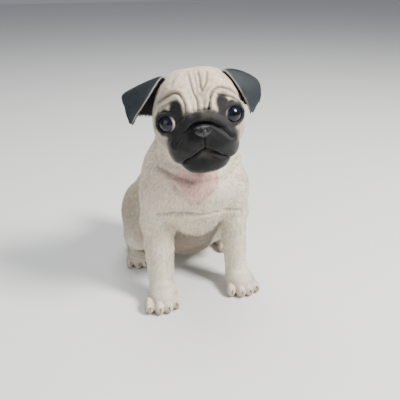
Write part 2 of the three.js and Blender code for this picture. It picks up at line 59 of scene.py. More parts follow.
# %% The head's turn
HEAD_AT = np.array([-2.8, -22.0, 176.0])
HEAD_TURN, HEAD_LIFT, HEAD_TILT = -14.0, 8.0, 7.5


def turned(x, y, z):
    """The matrix of a turn of x, then y, then z degrees about the fixed axes."""
    (cx, cy, cz), (sx, sy, sz) = np.cos(np.radians([x, y, z])), np.sin(np.radians([x, y, z]))
    return np.array([[cz * cy, cz * sy * sx - sz * cx, cz * sy * cx + sz * sx],
                     [sz * cy, sz * sy * sx + cz * cx, sz * sy * cx - cz * sx],
                     [-sy, cy * sx, cy * cx]])


HEAD = turned(0, 0, HEAD_TURN) @ turned(-HEAD_LIFT, 0, 0) @ turned(0, -HEAD_TILT, 0)
print("the nose points along", (HEAD @ [0, -1, 0]).round(2))

# %% [markdown]
# Points go from one frame to the other and back. The middle of the left eye is known in the loaded
# frame too, so it ties all three frames together.

# %% From frame to frame
EYE_APART = 24.2
EYE_RADIUS = 9.0
EYE_AT = np.array([EYE_APART, -25.0, 0.0])


def to_head(p):
    """Points of the body frame, in the head's frame."""
    return (p - HEAD_AT) @ HEAD


def from_head(q):
    """Points of the head's frame, in the body frame."""
    return HEAD_AT + np.asarray(q, float) @ HEAD.T


low, high = (np.array(c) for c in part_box("eye_left"))
OFFSET = (low + high) / 2 - from_head(EYE_AT) / 1000


def to_model(p):
    """Millimetres of the body frame, as metres of the loaded frame."""
    return np.asarray(p, float) / 1000 + OFFSET


print("the body frame's origin is at", OFFSET.round(4), "m")

# %% [markdown]
# A mass is either a ball with three radii or a bone with two round ends. Each tells how far a point is
# outside it. Both are cheap to work out for many points at once, which a mesh of a ball isn't.

# %% Two kinds of mass


def ball(p, at, radii, turn=(0, 0, 0)):
    """Rough distance to an ellipsoid: k0 (k0 - 1) / k1, with k0 and k1 the lengths of the point
    divided by the radii once and twice."""
    q = (p - np.asarray(at, np.float32)) @ turned(*turn).astype(np.float32)
    r = np.asarray(radii, np.float32)
    k0 = np.linalg.norm(q / r, axis=-1)
    k1 = np.linalg.norm(q / (r * r), axis=-1)
    return k0 * (k0 - 1) / np.maximum(k1, 1e-6)


def bone(p, a, b, ra, rb):
    """Distance to a bar whose thickness runs from ra to rb: the distance to the nearest place on its
    line, less the thickness there."""
    a, b = np.asarray(a, np.float32), np.asarray(b, np.float32)
    line = b - a
    t = np.clip((p - a) @ line / (line @ line), 0, 1)
    return np.linalg.norm(p - a - t[..., None] * line, axis=-1) - (ra + (rb - ra) * t)


away = float(ball(np.array([7, 0, 0]), (0, 0, 0), (5, 5, 5)))
print("7 mm from its middle, a ball of 5 mm is", round(away, 2), "mm away")

# %% [markdown]
# Where two masses meet, their distances are blended, so that the crease between them fills softly. A
# table of masses is then melted together row by row.

# %% Masses that melt together


def meet(d, e, soft):
    """The smaller distance, less h squared over 4 soft, with h how far they are within soft."""
    if soft <= 0:
        return np.minimum(d, e)
    h = np.maximum(soft - np.abs(d - e), 0)
    return np.minimum(d, e) - h * h / (4 * soft)


def heaped(p, rows, d=1e3):
    """Distance to a table of masses. A row gives how softly it meets those before it, then ball or
    bone, then its numbers."""
    for soft, mass, *numbers in rows:
        d = meet(d, mass(p, *numbers), soft)
    return d


def chain(points, widths, soft):
    """Rows for bones along a line of points, each with its own thickness."""
    return [(soft, bone, *row) for row in zip(points, points[1:], widths, widths[1:])]


print("a chain of three points has", len(chain(np.eye(3), [1, 1, 1], 0)), "bones")

# %% [markdown]
# A pug's eyes bulge, and a thick dark rim of lid frames each. The rim is an oval ring that is laid over
# the eyeball and tilted as the eye looks.

# %% Eyelids
EYE_LOOKS = np.array([0.4, -1.0, 0.04])
EYE_LOOKS /= np.linalg.norm(EYE_LOOKS)
LID_RING, LID_FLATTER, LID_THICK = 8.9, 1.24, 1.5


def unit(v):
    """Vectors divided by their own lengths."""
    return v / np.maximum(np.linalg.norm(v, axis=-1, keepdims=True), 1e-9)


def lids(q):
    """Distance to the ring at 8.9 mm around the line of sight. Its height is 4.5 + 0.028 v squared
    and its thickness 1.5 + 0.35 v / 8, with v how far up it is."""
    out = unit(np.cross(EYE_LOOKS, [0, 0, -1.0]))
    up = np.cross(out, EYE_LOOKS)
    up *= np.sign(up[2])
    u, v, w = ((q - EYE_AT.astype(np.float32)) @ way.astype(np.float32) for way in (out, up, EYE_LOOKS))
    across = np.sqrt(u * u + (v * LID_FLATTER) ** 2)
    thick = LID_THICK + 0.35 * np.clip(v / 8, -0.4, 1)
    height = 4.5 + 0.028 * v * v
    return np.hypot(across - LID_RING, w - height) - thick


print("the lids are", 2 * LID_THICK, "mm thick at the middle")

# %% [markdown]
# A pug's head is nearly a ball: a wide flat crown, full cheeks, and a short square muzzle under one
# thick roll of skin. A roll is a chain of bones. The masses are written for the left half and mirrored
# by taking the size of x.

# %% The skull
BROW = [(35, -12, 4), (30, -22, 12), (22, -29, 17), (14, -32, 17.5), (9.5, -35, 12), (9, -37, 4)]
NOSE_ROLL = [(0, -40, 3.4), (8, -38.6, 1.8), (15, -35.4, -3.5), (21, -32, -10.5), (25, -27, -20)]
SKULL = [
    (0, ball, (0, 5, 7), (34, 35, 32)),
    (8, ball, (12, 0, 18), (20, 29, 19)),
    (12, ball, (25, -4, -6), (13.5, 22, 21)),
    (10, ball, (13, -20, 14), (16, 15, 14)),
    (8, ball, (0, -24, 3), (22, 14, 14)),
    (4, ball, (EYE_APART - 0.5, -20.5, 0), (11.5, 10.5, 11)),
    (8, ball, (0, -22, -13), (28, 20, 17)),
    (4, ball, (12.5, -31, -17), (14.5, 12, 11.5)),
    (5, ball, (19, -23.5, -22), (10, 13, 12.5)),
    *chain(BROW, np.linspace(2.6, 3.4, len(BROW)), 2.0),
    *chain(NOSE_ROLL, np.linspace(4.9, 3.2, len(NOSE_ROLL)), 1.4),
]


def half_head(p):
    """Points of the body frame in the head's frame, all on its left half."""
    q = to_head(p).astype(np.float32)
    q[..., 0] = np.abs(q[..., 0])
    return q


def skull(p):
    """The head without its lower jaw."""
    q = half_head(p)
    return meet(heaped(q, SKULL), lids(q), 1.8)


print("the skull has", len(SKULL), "masses")

# %% [markdown]
# The upper lips hang as two cushions over the lower jaw, and that is what draws the mouth as an
# upside-down V. So the jaw is a mass of its own, which hardly melts with the lips. The eye sockets are
# cut out, because the eyes are pieces of their own.

# %% Jaw and eye sockets
JAW = [(0, ball, (0, -24.3, -31.5), (21, 14.5, 12.5)), (6, ball, (0, -8, -27), (23, 20, 14))]
SOCKET_GAP = 0.15


def jaw(p):
    """The lower jaw and the chin."""
    return heaped(half_head(p), JAW)


def sockets(p):
    """How far inside either eye socket a point is."""
    return EYE_RADIUS + SOCKET_GAP - np.linalg.norm(half_head(p) - EYE_AT.astype(np.float32), axis=-1)


print("the sockets are", 2 * (EYE_RADIUS + SOCKET_GAP), "mm wide")

# %% [markdown]
# The trunk slopes from the withers to the rump, as in any dog that sits. The forelegs stand apart like
# posts, and the thighs bulge beside a round belly. Right and left are the puppy's own, and the two
# sides differ as they do in the photograph, so the joints are listed for each.

# %% Joints
TOES = (-1.5, -0.5, 0.5, 1.5)


def joints(side):
    """The places of a side's joints, and the foreleg's thickness at elbow and wrist."""
    if side == "right":
        return dict(s=-1, elbow=(-32.5, 7, 74), wrist=(-36, -10.5, 18), toes=(-40, -32.5, 0),
                    knee=(-42, 46, 42), hock=(-38, 99, 11), instep=(-40, 70, 8.5), stout=(15, 11.4))
    return dict(s=1, elbow=(41, 7, 74), wrist=(41, -5.0, 18), toes=(40.5, -27.0, 0),
                knee=(42, 46, 42), hock=(46, 99, 11), instep=(58, 74, 8.5), stout=(13.2, 10.6))


def toe_back(k):
    """How far back toe k is set: 4.5 mm for the two outer ones."""
    return 4.5 if abs(k) > 1 else 0.0


def toe_row(soft, at, size, apart, splay):
    """Rows for four toes and for the blunt end of each."""
    half, long, tall = size
    for k in TOES:
        x, y, z = at[0] + k * apart, at[1] + toe_back(k) + at[2] * k, tall - 0.7
        yield soft, ball, (x, y, z), (half, long, tall), (10, 0, k * splay)
        yield soft, ball, (x + 0.06 * k * splay, y - 3.9, z - 0.9), (half + 0.25, 6.0, tall - 1.0)


print("each paw has", len(TOES), "toes, the outer ones", toe_back(TOES[0]), "mm further back")

# %% [markdown]
# A leg is a few bones and balls: shoulder, upper arm, forearm and paw in front, and thigh, shank and
# long hind foot behind. Low softness keeps the toes apart, high softness hides the shoulder.

# %% Legs


def leg_rows(side):
    """Rows for both legs of one side."""
    j = joints(side)
    s, left = j["s"], side == "left"
    yield 12, ball, (s * 31 + 2, 6, 108), (15, 26, 32)
    yield 10, bone, (s * 35 + 2, 2, 100), j["elbow"], 16, j["stout"][0] + 1
    yield 6, bone, j["elbow"], j["wrist"], *j["stout"]
    yield 6, ball, np.array(j["wrist"]) + [0, -10.5, -7.5], (14.5, 16.5, 11)
    yield from toe_row(2.0, j["toes"], (4.7, 10, 6.6), 7.6, 7)
    yield 9, ball, (s * 36, 66, 54), (19, 36, 32), (-14, 0, 0)
    yield 8, bone, j["knee"], j["hock"], 16, 9.5
    yield 3, bone, j["hock"], j["instep"], 9.5, 8.8
    x, y, z = j["instep"]
    yield 3, ball, (x + (3 if left else 0), y - 5, z), (12, 14, 9.3)
    toes = (x + (4 if left else 0), y - 12, 0.3 if left else 0)
    yield from toe_row(1.2, toes, (4.4, 9.5, 6.2), 6.8, 6)


print("a side's legs have", len(list(leg_rows("left"))), "masses")

# %% [markdown]
# The tail curls tightly over the right hip. A curve gives its middle, and a chain of bones follows it.

# %% Tail
TAIL_ROOT = np.array([0.0, 108.0, 78.0])
TAIL_BONES = 23
TAIL_THICK, TAIL_THINNER, TAIL_FUR = 8.2, 3.6, 0.6


def step(low, high, v):
    """Nothing below low, one above high, and a smooth rise between, by 3 t squared - 2 t cubed."""
    t = np.clip((v - low) / (high - low), 0, 1)
    return t * t * (3 - 2 * t)


def tail_line(t):
    """The middle of the tail: 1.12 turns of a coil whose radius falls from 13 to 9 mm, and which
    moves 15 mm to the right."""
    t = np.asarray(t, float)
    angle = 2 * np.pi * 1.12 * t - 0.5
    r = 13 - 4 * t
    return np.stack([TAIL_ROOT[0] - 15 * step(0.2, 1, t) + 2, TAIL_ROOT[1] + 2 + r * np.cos(angle),
                     TAIL_ROOT[2] + 15 + r * np.sin(angle)], -1)


def tail(p):
    """Distance to the tail."""
    share = np.linspace(0, 1, TAIL_BONES)
    points = np.vstack([TAIL_ROOT + [1, 4, -6], tail_line(share)])
    thick = np.r_[TAIL_THICK, TAIL_THICK - TAIL_THINNER * share] - TAIL_FUR
    return heaped(p, chain(points, thick, 0))


print("the tail's tip is at", tail_line(1).round(0))

# %% [markdown]
# The trunk joins everything: rib cage, back, rump, belly, breast and neck. Its masses melt with
# the legs, the head comes next, and the sockets are cut out last.

# %% The whole body
TRUNK = [
    (0, ball, (2, 14, 106), (39, 41, 44)),
    (20, bone, (1, 28, 108), (0, 78, 64), 36, 40),
    (16, ball, (0, 88, 44), (42, 36, 45)),
    (8, ball, (8, 56, 44), (40, 34, 33)),
    (8, bone, (1, 2, 96), (6, 36, 62), 30, 33),
    (4, ball, (2, -8, 112), (36, 30, 26)),
    (14, bone, (1, 12, 126), (-3, -4, 162), 34, 31),
]
BODY = [*TRUNK, *leg_rows("right"), *leg_rows("left")]


def flesh(p):
    """Distance to the whole body, from all of its masses."""
    p = p.astype(np.float32)
    d = heaped(p, BODY)
    for part, soft in ((skull, 9), (jaw, 1.0), (tail, 1.5)):
        d = meet(d, part(p), soft)
    return np.maximum(d, sockets(p))


print("the middle of the body is", round(-float(flesh(np.array([[0.0, 20.0, 90.0]]))[0]), 1), "mm deep")

# %% [markdown]
# A grid turns the field into a mesh. Its planes lie close together through the face, where the skin
# folds finely, and further apart elsewhere. Only blocks of it near the surface are worked out in full,
# because the rest of the grid can't hold any surface.

# %% The field on a grid


def planes(start, end, fine_from, fine_to, fine, coarse):
    """Places of grid planes: coarse steps, fine steps between the two inner limits, coarse steps."""
    return np.concatenate([np.arange(start, fine_from, coarse), np.arange(fine_from, fine_to, fine),
                           np.arange(fine_to, end + coarse, coarse)])


def blown_up(v, block, shape):
    """Each value repeated block times along each axis, cut to the shape."""
    for axis in range(3):
        v = v.repeat(block, axis)
    return v[:shape[0], :shape[1], :shape[2]]


def sampled(field, axes, block=8, batch=400000):
    """The field at every crossing of the planes. A block of the grid is worked out in full only if
    its middle is nearer to the surface than 3 mm and 1.5 times its half diagonal."""
    shape = tuple(len(a) for a in axes)
    starts = [np.arange(0, n, block) for n in shape]
    ends = [np.minimum(s + block, n - 1) for s, n in zip(starts, shape)]
    mids = [(a[s] + a[e]) / 2 for a, s, e in zip(axes, starts, ends)]
    halves = [(a[e] - a[s]) / 2 for a, s, e in zip(axes, starts, ends)]
    centres, corners = (np.stack(np.meshgrid(*v, indexing="ij"), -1) for v in (mids, halves))
    reach = np.linalg.norm(corners, axis=-1)
    rough = field(centres.reshape(-1, 3)).reshape(reach.shape)
    value = blown_up(rough, block, shape).astype(np.float32)
    index = np.nonzero(blown_up(np.abs(rough) < reach * 1.5 + 3, block, shape))
    points = np.stack([a[i] for a, i in zip(axes, index)], -1)
    for part in np.array_split(np.arange(len(points)), max(1, len(points) // batch)):
        value[tuple(i[part] for i in index)] = field(points[part])
    return value


print("planes in steps of 2, 1 and 2:", planes(0, 8, 4, 6, 1, 2))

# %% [markdown]
# Each grid edge that crosses the surface becomes a face between the four cells around it. First those
# edges are found, along one axis at a time.

# %% Where the surface crosses the grid


def crossed(value, axes, way):
    """Along one axis: where the surface crosses the grid's edges, the four cells around each such
    edge, and whether its start is inside."""
    inside = value < 0
    shape = np.array(value.shape)
    a, b = [slice(None)] * 3, [slice(None)] * 3
    a[way], b[way] = slice(0, -1), slice(1, None)
    i = np.stack(np.nonzero(inside[tuple(a)] != inside[tuple(b)]), -1)
    others = [n for n in range(3) if n != way]
    i = i[(i[:, others] > 0).all(1) & (i[:, others] < shape[others] - 1).all(1)]
    j = i + np.eye(3, dtype=int)[way]
    va, vb = value[tuple(i.T)], value[tuple(j.T)]
    pa, pb = (np.stack([axes[n][k[:, n]] for n in range(3)], -1) for k in (i, j))
    at = pa + (pb - pa) * (va / (va - vb))[:, None]
    ring = np.stack([i] * 4, 1)
    ring[:, :, (way + 1) % 3] -= [1, 0, 0, 1]
    ring[:, :, (way + 2) % 3] -= [1, 1, 0, 0]
    ring = np.ravel_multi_index(tuple(np.moveaxis(ring, -1, 0)), value.shape)
    return at, ring, inside[tuple(i.T)]


test_axes = (np.arange(-4.0, 5.0),) * 3
test_value = sampled(lambda p: ball(p, (0, 0, 0), (2.5, 2.5, 2.5)), test_axes)
print("a small ball crosses", len(crossed(test_value, test_axes, 0)[0]), "edges along x")

# %% [markdown]
# Then each cell that holds a crossing gets one point. That gives four-sided faces of even size, which
# marching cubes, the usual way, doesn't.

# %% Faces from the grid


def netted(value, axes):
    """Points and outward faces of the surface where the value changes sign. A point is the mean of
    the crossings on its cell's edges."""
    cells = value.size
    total, count, rings = np.zeros((cells, 3)), np.zeros(cells), []
    for way in range(3):
        at, ring, inside = crossed(value, axes, way)
        for cell in ring.T:
            for n in range(3):
                total[:, n] += np.bincount(cell, at[:, n], cells)
            count += np.bincount(cell, minlength=cells)
        rings.append(np.where(inside[:, None], ring, ring[:, ::-1]))
    used = np.nonzero(count)[0]
    number = np.full(cells, -1)
    number[used] = np.arange(len(used))
    return total[used] / count[used][:, None], number[np.vstack(rings)]


print("the small ball becomes", len(netted(test_value, test_axes)[1]), "faces")

# %% [markdown]
# The coat has thickness, so the skin lies a little under the body's outline. On the bare lids it lies
# almost at it. The net's points are then drawn onto that surface along the field's slope, which takes
# away the steps of the grid.

# %% How deep the skin lies


def slope(field, p, e=0.08):
    """The direction in which the field grows fastest, by small steps along each axis."""
    return np.stack([field(p + s) - field(p - s) for s in np.eye(3) * e], -1) / (2 * e)


def drawn(field, p, most_at_once=0.5, rounds=3):
    """Moves points along the slope until the field there is nothing."""
    for _ in range(rounds):
        g = slope(field, p)
        miss = np.clip(field(p), -most_at_once, most_at_once)
        p = p - g * (miss / np.maximum((g * g).sum(-1), 0.3))[:, None]
    return p


def depth_of(p):
    """How far the skin lies under the coat's outline: 1.1 mm, less 0.5 on the face and 0.5 more
    within 11 mm of an eye's middle."""
    q = to_head(p)
    face = step(-4, -16, q[..., 1]) * step(12, 4, skull(p))
    mirrored = np.stack([np.abs(q[..., 0]), q[..., 1], q[..., 2]], -1)
    eye = np.linalg.norm(mirrored - EYE_AT, axis=-1)
    return 1.1 - 0.5 * face - 0.5 * step(14, 11, eye)


def skin_field(p):
    """Distance to the skin."""
    return flesh(p) + depth_of(p)


print("the skin of the back is", depth_of(np.array([[0.0, 60.0, 110.0]]))[0].round(1), "mm deep")

# %% [markdown]
# Now the skin is cast. The whole body takes one mesh, so no seam shows between head, trunk and legs.
# Nothing may reach below the floor, so the soles are pressed flat just above it.

# %% The skin
fine, coarse = ((0.85, 1.9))
FLOOR_GAP = 0.1
axes = (planes(-72, 78, -46, 40, fine, coarse), planes(-76, 142, -72, -22, fine, coarse),
        planes(-4, 222, 128, 216, fine, coarse))
skin_points, skin_faces = netted(sampled(skin_field, axes), axes)
skin_points = drawn(skin_field, skin_points)
skin_points[:, 2] = np.maximum(skin_points[:, 2], FLOOR_GAP)
print("skin:", len(skin_points), "points,", len(skin_faces), "faces,",
      round(time.time() - started, 1), "s")

# %% [markdown]
# Small forms are pressed into this skin: the creases of the brow, the line of the mouth, the fold over
# the nose, and the folds of loose skin on the chest. They could be masses too, but a line on the skin
# gives a sharper fold. A line is given as seen from the front, then how deep it is, half its width, and
# how dark the painted shade along its fold is.

# %% Lines of the creases
FACE_CREASES = [
    ([(-37, 8), (-31, 16), (-22, 21.4), (-16, 22.5), (-12.6, 19), (-10.7, 12.7), (-11, 7)],
     1.7, 1.1, 0.75),
    ([(7, 8), (9.7, 17), (12.7, 20.7), (17.2, 22.3), (22, 21), (27, 18), (36, 9)], 1.7, 1.1, 0.75),
    ([(-32, 10), (-29.5, 12.8), (-22.6, 15.8), (-16.5, 16.9)], 1.1, 0.9, 0.6),
    ([(14.8, 17.6), (20, 15.8), (26.7, 13), (35, 8)], 1.1, 0.9, 0.6),
    ([(-4, 36), (-3.6, 28.5), (-3, 21.8), (-1.2, 15.6), (-1.5, 8)], 1.3, 1.0, 0.65),
    ([(3.7, 39), (3.8, 31), (3.3, 22)], 1.1, 0.9, 0.5),
    ([(10.3, 34), (8.4, 28), (3.6, 21)], 1.1, 0.9, 0.5),
    ([(7.7, 12.3), (6.8, 7.3)], 0.9, 0.8, 0.5),
    ([(-12, 37), (-16, 33), (-19, 28)], 0.6, 1.4, 0.25),
    ([(19, 35), (22, 30), (28, 27)], 0.6, 1.4, 0.25),
    ([(-22, -16), (-18, -11.5), (-12.3, -6.5), (-7, -2.6), (0, -1.4), (7, -2.6), (12.3, -6.5),
      (18, -11.5), (22, -16)], 2.0, 1.5, 1.0),
    ([(0, -13), (0, -22)], 1.3, 0.8, 1.0),
    ([(-17, -30.5), (-14, -29.2), (-10, -27.5), (-5.5, -24.6), (0, -22), (5.5, -24.6), (10, -28),
      (15, -31)], 2.0, 1.1, 1.0),
]
CHEST_CREASES = [
    ([(-36, 88.5), (-24, 90), (-12, 91), (3, 89.5), (16, 88), (30, 85), (43, 80)], 1.5, 1.5, 0.35),
    ([(-25, 118), (-18, 110), (-10, 102.5), (-1, 109), (6, 116), (11, 122)], 0.8, 1.5, 0.2),
    ([(-34, 131), (-20, 125), (0, 122), (20, 124), (36, 131)], 1.6, 2.2, 0.25),
]
print("creases:", len(FACE_CREASES) + len(CHEST_CREASES))

# %% [markdown]
# A few places are enough for a crease, because a smooth curve is led through them. The bell curve is
# used for everything that fades out softly.

# %% Smooth lines and bell curves


def bell(away, wide):
    """One at no distance, falling smoothly to nothing: e to the power -(away / wide) squared."""
    return np.exp(-(away / wide) ** 2)


def led(a, b, c, d, t):
    """A smooth curve from b to c, which runs along c - a at its start and along d - b at its end."""
    return 0.5 * (2 * b + (c - a) * t + (2 * a - 5 * b + 4 * c - d) * t ** 2
                  + (3 * b - a - 3 * c + d) * t ** 3)


def rounded(line, steps=6):
    """A smooth line through the points."""
    p = np.asarray([line[0], *line, line[-1]], float)
    t = np.linspace(0, 1, steps, endpoint=False)[:, None]
    return np.vstack([*(led(*four, t) for four in zip(p, p[1:], p[2:], p[3:])), p[-1:]])


print("the brow's crease is drawn through", len(rounded(FACE_CREASES[0][0])), "places")

# %% [markdown]
# Skin that is pressed in along a line also swells a little on both sides of it. Two bell curves, a
# tall one and a shallow one further out, give that section.

# %% The section of a crease


def nearest(q, line):
    """Distance from flat places to a line of points."""
    best = np.full(len(q), 1e3)
    for a, b in zip(line, line[1:]):
        t = np.clip((q - a) @ (b - a) / ((b - a) @ (b - a)), 0, 1)
        best = np.minimum(best, np.linalg.norm(q - a - t[:, None] * (b - a), axis=1))
    return best


def pressed(places, share, lines):
    """How deep the skin is along the lines, and how dark the shade painted into them is. The depth is
    bell(a, w) less 0.3 times bell(a - 2.2 w, w), with a the distance and w the half width."""
    sink, crease_shade = np.zeros(len(places)), np.zeros(len(places))
    some = np.nonzero(share > 0)[0]
    for line, depth, wide, tone in lines:
        away = nearest(places[some], rounded(line))
        section = bell(away, wide) - 0.3 * bell(away - 2.2 * wide, wide)
        sink[some] += share[some] * depth * section
        # Painted shade: the fold darkens the skin along its line.
        crease_shade[some] = np.maximum(crease_shade[some], tone * share[some] * bell(away, wide * 0.95))
    return sink, crease_shade


beside = pressed(np.array([[0.0, 2.0]]), np.ones(1), [([(-9, 0), (9, 0)], 1, 1, 1)])[0]
print("2 mm beside a crease the skin rises by", -beside[0].round(2), "of its depth")

# %% [markdown]
# The lines are seen from the front, so they would also cut the back of the head. A share that fades
# out behind the face, and one for the chest, keep them where they belong.

# %% Pressing the creases in


def creases(p):
    """Depth and painted shade of all creases at points of the body frame."""
    q = to_head(p)
    face = np.clip((-8 - q[:, 1]) / 10, 0, 1) * (np.abs(q[:, 0]) < 44) * (q[:, 2] > -46)
    chest = np.clip((4 - p[:, 1]) / 12, 0, 1) * (p[:, 2] < 134) * (1 - face)
    sink, crease_shade = pressed(q[:, [0, 2]], face, FACE_CREASES)
    more, more_crease_shade = pressed(p[:, [0, 2]], chest, CHEST_CREASES)
    return sink + more, np.maximum(crease_shade, more_crease_shade)


def normals_of(points, faces):
    """Each point's normal: the mean of its faces' normals, weighted by their size."""
    a, b, c, d = (points[faces[:, k]] for k in range(4))
    n = np.cross(c - a, d - b)
    out = np.zeros_like(points)
    for k in range(4):
        for m in range(3):
            out[:, m] += np.bincount(faces[:, k], n[:, m], len(points))
    return unit(out)


skin_normals = normals_of(skin_points, skin_faces)
sink = creases(skin_points)[0]
skin_points = skin_points - skin_normals * sink[:, None]
skin_normals = normals_of(skin_points, skin_faces)
uncreased = skin_points + skin_normals * sink[:, None]
print("the deepest crease is", sink.max().round(1), "mm deep")

# %% [markdown]
# The markings are worked out once, as a formula in the same two frames, and both the skin and the coat
# carry its answer as attributes. That way the mask ends at the same place on both. Black covers the
# muzzle, the nose roll, the eye rims and the roots of the ears, where it also paints the shade in the gap
# under each ear. A wavy edge keeps it natural.

# %% The black mask


def waves(p, size, seed):
    """A smooth random pattern: a sum of 14 sine waves of about one size in random directions."""
    draw = np.random.default_rng(seed)
    out = np.zeros(len(p))
    for _ in range(14):
        way = unit(draw.normal(size=3))
        out += np.sin(p @ way * (2 * np.pi / size) * draw.uniform(0.7, 1.5) + draw.uniform(0, 6.28))
    return out / 3.7


def most(*shares):
    """The largest of several shares at each point."""
    return np.maximum.reduce(shares)


def black_mask(q, wobble):
    """Share of black at points of the head's frame. The fleck is the dark spot over the inner corner
    of the eye, and the lip is a little lighter. The top of the roll is lighter as a painted highlight,
    and the black at the ear roots is partly painted shade under the ears."""
    x, y, z = np.abs(q[:, 0]), q[:, 1], q[:, 2]
    muzzle = np.sqrt((x / 28.5) ** 2 + ((z + 19) / 27.5) ** 2 + (np.maximum(y + 20, 0) / 17) ** 2)
    rim = np.hypot((x - EYE_APART) / 1.08, z - 0.3)
    fleck = np.hypot(x - 17.8, (z - 9.5) / 1.5)
    # The ears' own dark roots, and painted shade in the gap under each ear.
    ear_root_and_shade = bone(np.stack([x, y, z], -1), (25, -3, 29), (35, 3, 10), 4.5, 4.0)
    black = most(1 - step(0.93, 1.09, muzzle + wobble * 0.025),
                 (1 - step(9.8, 12.8, rim + wobble * 0.5)) * (y < -12),
                 (1 - step(4.2, 6.8, fleck + wobble * 0.3)) * (y < -12),
                 0.85 * step(2.5, -1.5, ear_root_and_shade))
    lip = bell(np.hypot(x / 1.9, (z + 25.5 + 0.1 * x) / 0.9), 2.6) * (y < -25)
    # Painted highlight: the top of the nose roll faces up and is painted a little lighter.
    roll_top_highlight = bell(np.hypot(x / 15, (z - 5.5) / 4.5), 1) * (y < -25)
    return black * (1 - 0.07 * lip - 0.035 * roll_top_highlight)


print("share of black at the nose:", black_mask(np.array([[0.0, -45.0, -8.0]]), 0)[0].round(2))

# %% [markdown]
# The rest is fawn. It is greyer on cheeks, flank, belly and along the back, and paler on chest, legs
# and feet, and a painted highlight pales the chest's left side further. Bare pink shows through a patch
# on the chest that narrows downwards.

# %% Grey, pale and pink


def grey_share(p, q, belly):
    """Share of grey: cheeks, temples, right flank, the line of the back, and the belly."""
    x, z, ahead = np.abs(q[:, 0]), q[:, 2], q[:, 1] < -12
    flank = step(-24, -50, p[:, 0]) * step(8, 30, p[:, 1]) * step(150, 110, p[:, 2])
    ridge = bell(p[:, 0], 16) * step(40, 80, p[:, 2]) * step(5, 40, p[:, 1])
    return most(0.45 * bell(np.hypot(x - 30, z + 14), 10) * ahead,
                0.3 * bell(np.hypot(x - 24, (z - 20) / 0.7), 9) * ahead,
                0.42 * flank, 0.3 * ridge, 0.7 * belly)


def pale_share(p, q, belly, chest):
    """Share of pale: feet, the fronts of the legs, the breast, and a painted highlight on its left side.
    """
    x, y, z = p.T
    return most(0.8 * step(64, 24, z) * (1 - belly),
                0.6 * step(96, 80, z) * step(24, 32, np.abs(x)) * step(30, 14, y),
                0.45 * step(34, 8, y) * step(150, 142, z) * (1 - belly) * (q[:, 2] < -20),
                # Painted highlight: the breast's left side, where the main light falls, is paler still.
                chest * (0.62 + 0.38 * bell(np.hypot(x - 26, (z - 106) / 1.2), 24)))


def pink_share(p, wobble, chest):
    """Share of pink: the patch, which is 17.5 mm to each side at most, the right breast, the soles."""
    x, y, z = p.T
    wide = np.clip((z - 100) / 20, 0, 1) * 17.5
    patch = step(wide + 1.5, wide - 1.5, np.abs(x + 8.5 - 0.12 * (z - 103)) + wobble * 0.8)
    return most(0.75 * patch * chest * step(101, 105, z) * step(134, 126, z),
                0.22 * chest * step(10, -20, x),
                0.25 * step(9, 2, z) * (y < 70))


on_patch = np.array([[-8.0, -38.0, 120.0]])
print("share of pink on the chest:", pink_share(on_patch, 0, 1)[0].round(2))

# %% [markdown]
# All five shares are put side by side, so that a later cell can store each as an attribute. The skin
# takes them at places from before the creases were pressed in.

# %% All markings
MARKS = ("black", "grey", "pale", "pink", "crease")


def markings(p):
    """Shares of black, grey, pale, pink and painted crease shade at each point of the body frame."""
    q = to_head(p)
    x, y, z = p.T
    wobble = waves(p, 9, 3) * 1.2
    chest = step(6, -10, y) * (q[:, 2] < -30) * step(88, 91, z)
    belly = step(-6, 0, y) * step(70, 60, y) * step(92, 58, z) * step(30, 24, np.abs(x - 2))
    return np.stack([black_mask(q, wobble), grey_share(p, q, belly), pale_share(p, q, belly, chest),
                     pink_share(p, wobble, chest), creases(p)[1]], -1)


skin_marks = markings(uncreased)
print("black share of the skin:", round(float(skin_marks[:, 0].mean()), 3))

# %% [markdown]
# A mesh is made from the arrays in one go, which is far quicker than adding points one by one. Every
# piece rides on the only body, and says which nodes of the frame it takes the place of.

# %% Making a piece


def piece(name, points, faces, material, slot, stands_for=(), attributes=None):
    """A smooth mesh object at the origin from points in the body frame."""
    mesh = bpy.data.meshes.new(name)
    faces = np.asarray(faces)
    mesh.vertices.add(len(points))
    mesh.vertices.foreach_set("co", to_model(points).astype(np.float32).ravel())
    mesh.loops.add(faces.size)
    mesh.loops.foreach_set("vertex_index", faces.astype(np.int32).ravel())
    mesh.polygons.add(len(faces))
    mesh.polygons.foreach_set("loop_start", np.arange(0, faces.size, faces.shape[1], dtype=np.int32))
    mesh.update(calc_edges=True)
    mesh.polygons.foreach_set("use_smooth", np.full(len(faces), True))
    for key, values in (attributes or {}).items():
        layer = mesh.attributes.new(key, "FLOAT", "POINT")
        layer.data.foreach_set("value", np.asarray(values, np.float32))
    mesh.materials.append(material)
    made = bpy.data.objects.new(name, mesh)
    bpy.context.scene.collection.objects.link(made)
    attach(made, "root")
    if stands_for:
        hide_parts(*stands_for)
    return made


print("materials come next")

# %% [markdown]
# Paint comes next. Each material is a small tree of nodes around one main shader. What is the same
# all over a surface is set on the shader's own sockets, and only what changes is linked.

# %% Colours and materials


def colour_of(r, g, b):
    """A colour given as it looks on a screen, as the linear values that shaders take: the share of
    255 to the power 2.2."""
    return tuple(((c / 255) ** 2.2) for c in (r, g, b)) + (1.0,)


def fresh(name, settings):
    """A node material with its output and its main shader, whose sockets take the settings."""
    material = bpy.data.materials.new(name)
    material.use_nodes = True
    tree = material.node_tree
    tree.nodes.clear()
    out = tree.nodes.new("ShaderNodeOutputMaterial")
    shader = tree.nodes.new("ShaderNodeBsdfPrincipled")
    tree.links.new(shader.outputs[0], out.inputs[0])
    for key, value in settings.items():
        shader.inputs[key].default_value = value
    return material, tree, shader


print("middle grey as a shader takes it:", round(colour_of(128, 128, 128)[0], 2))

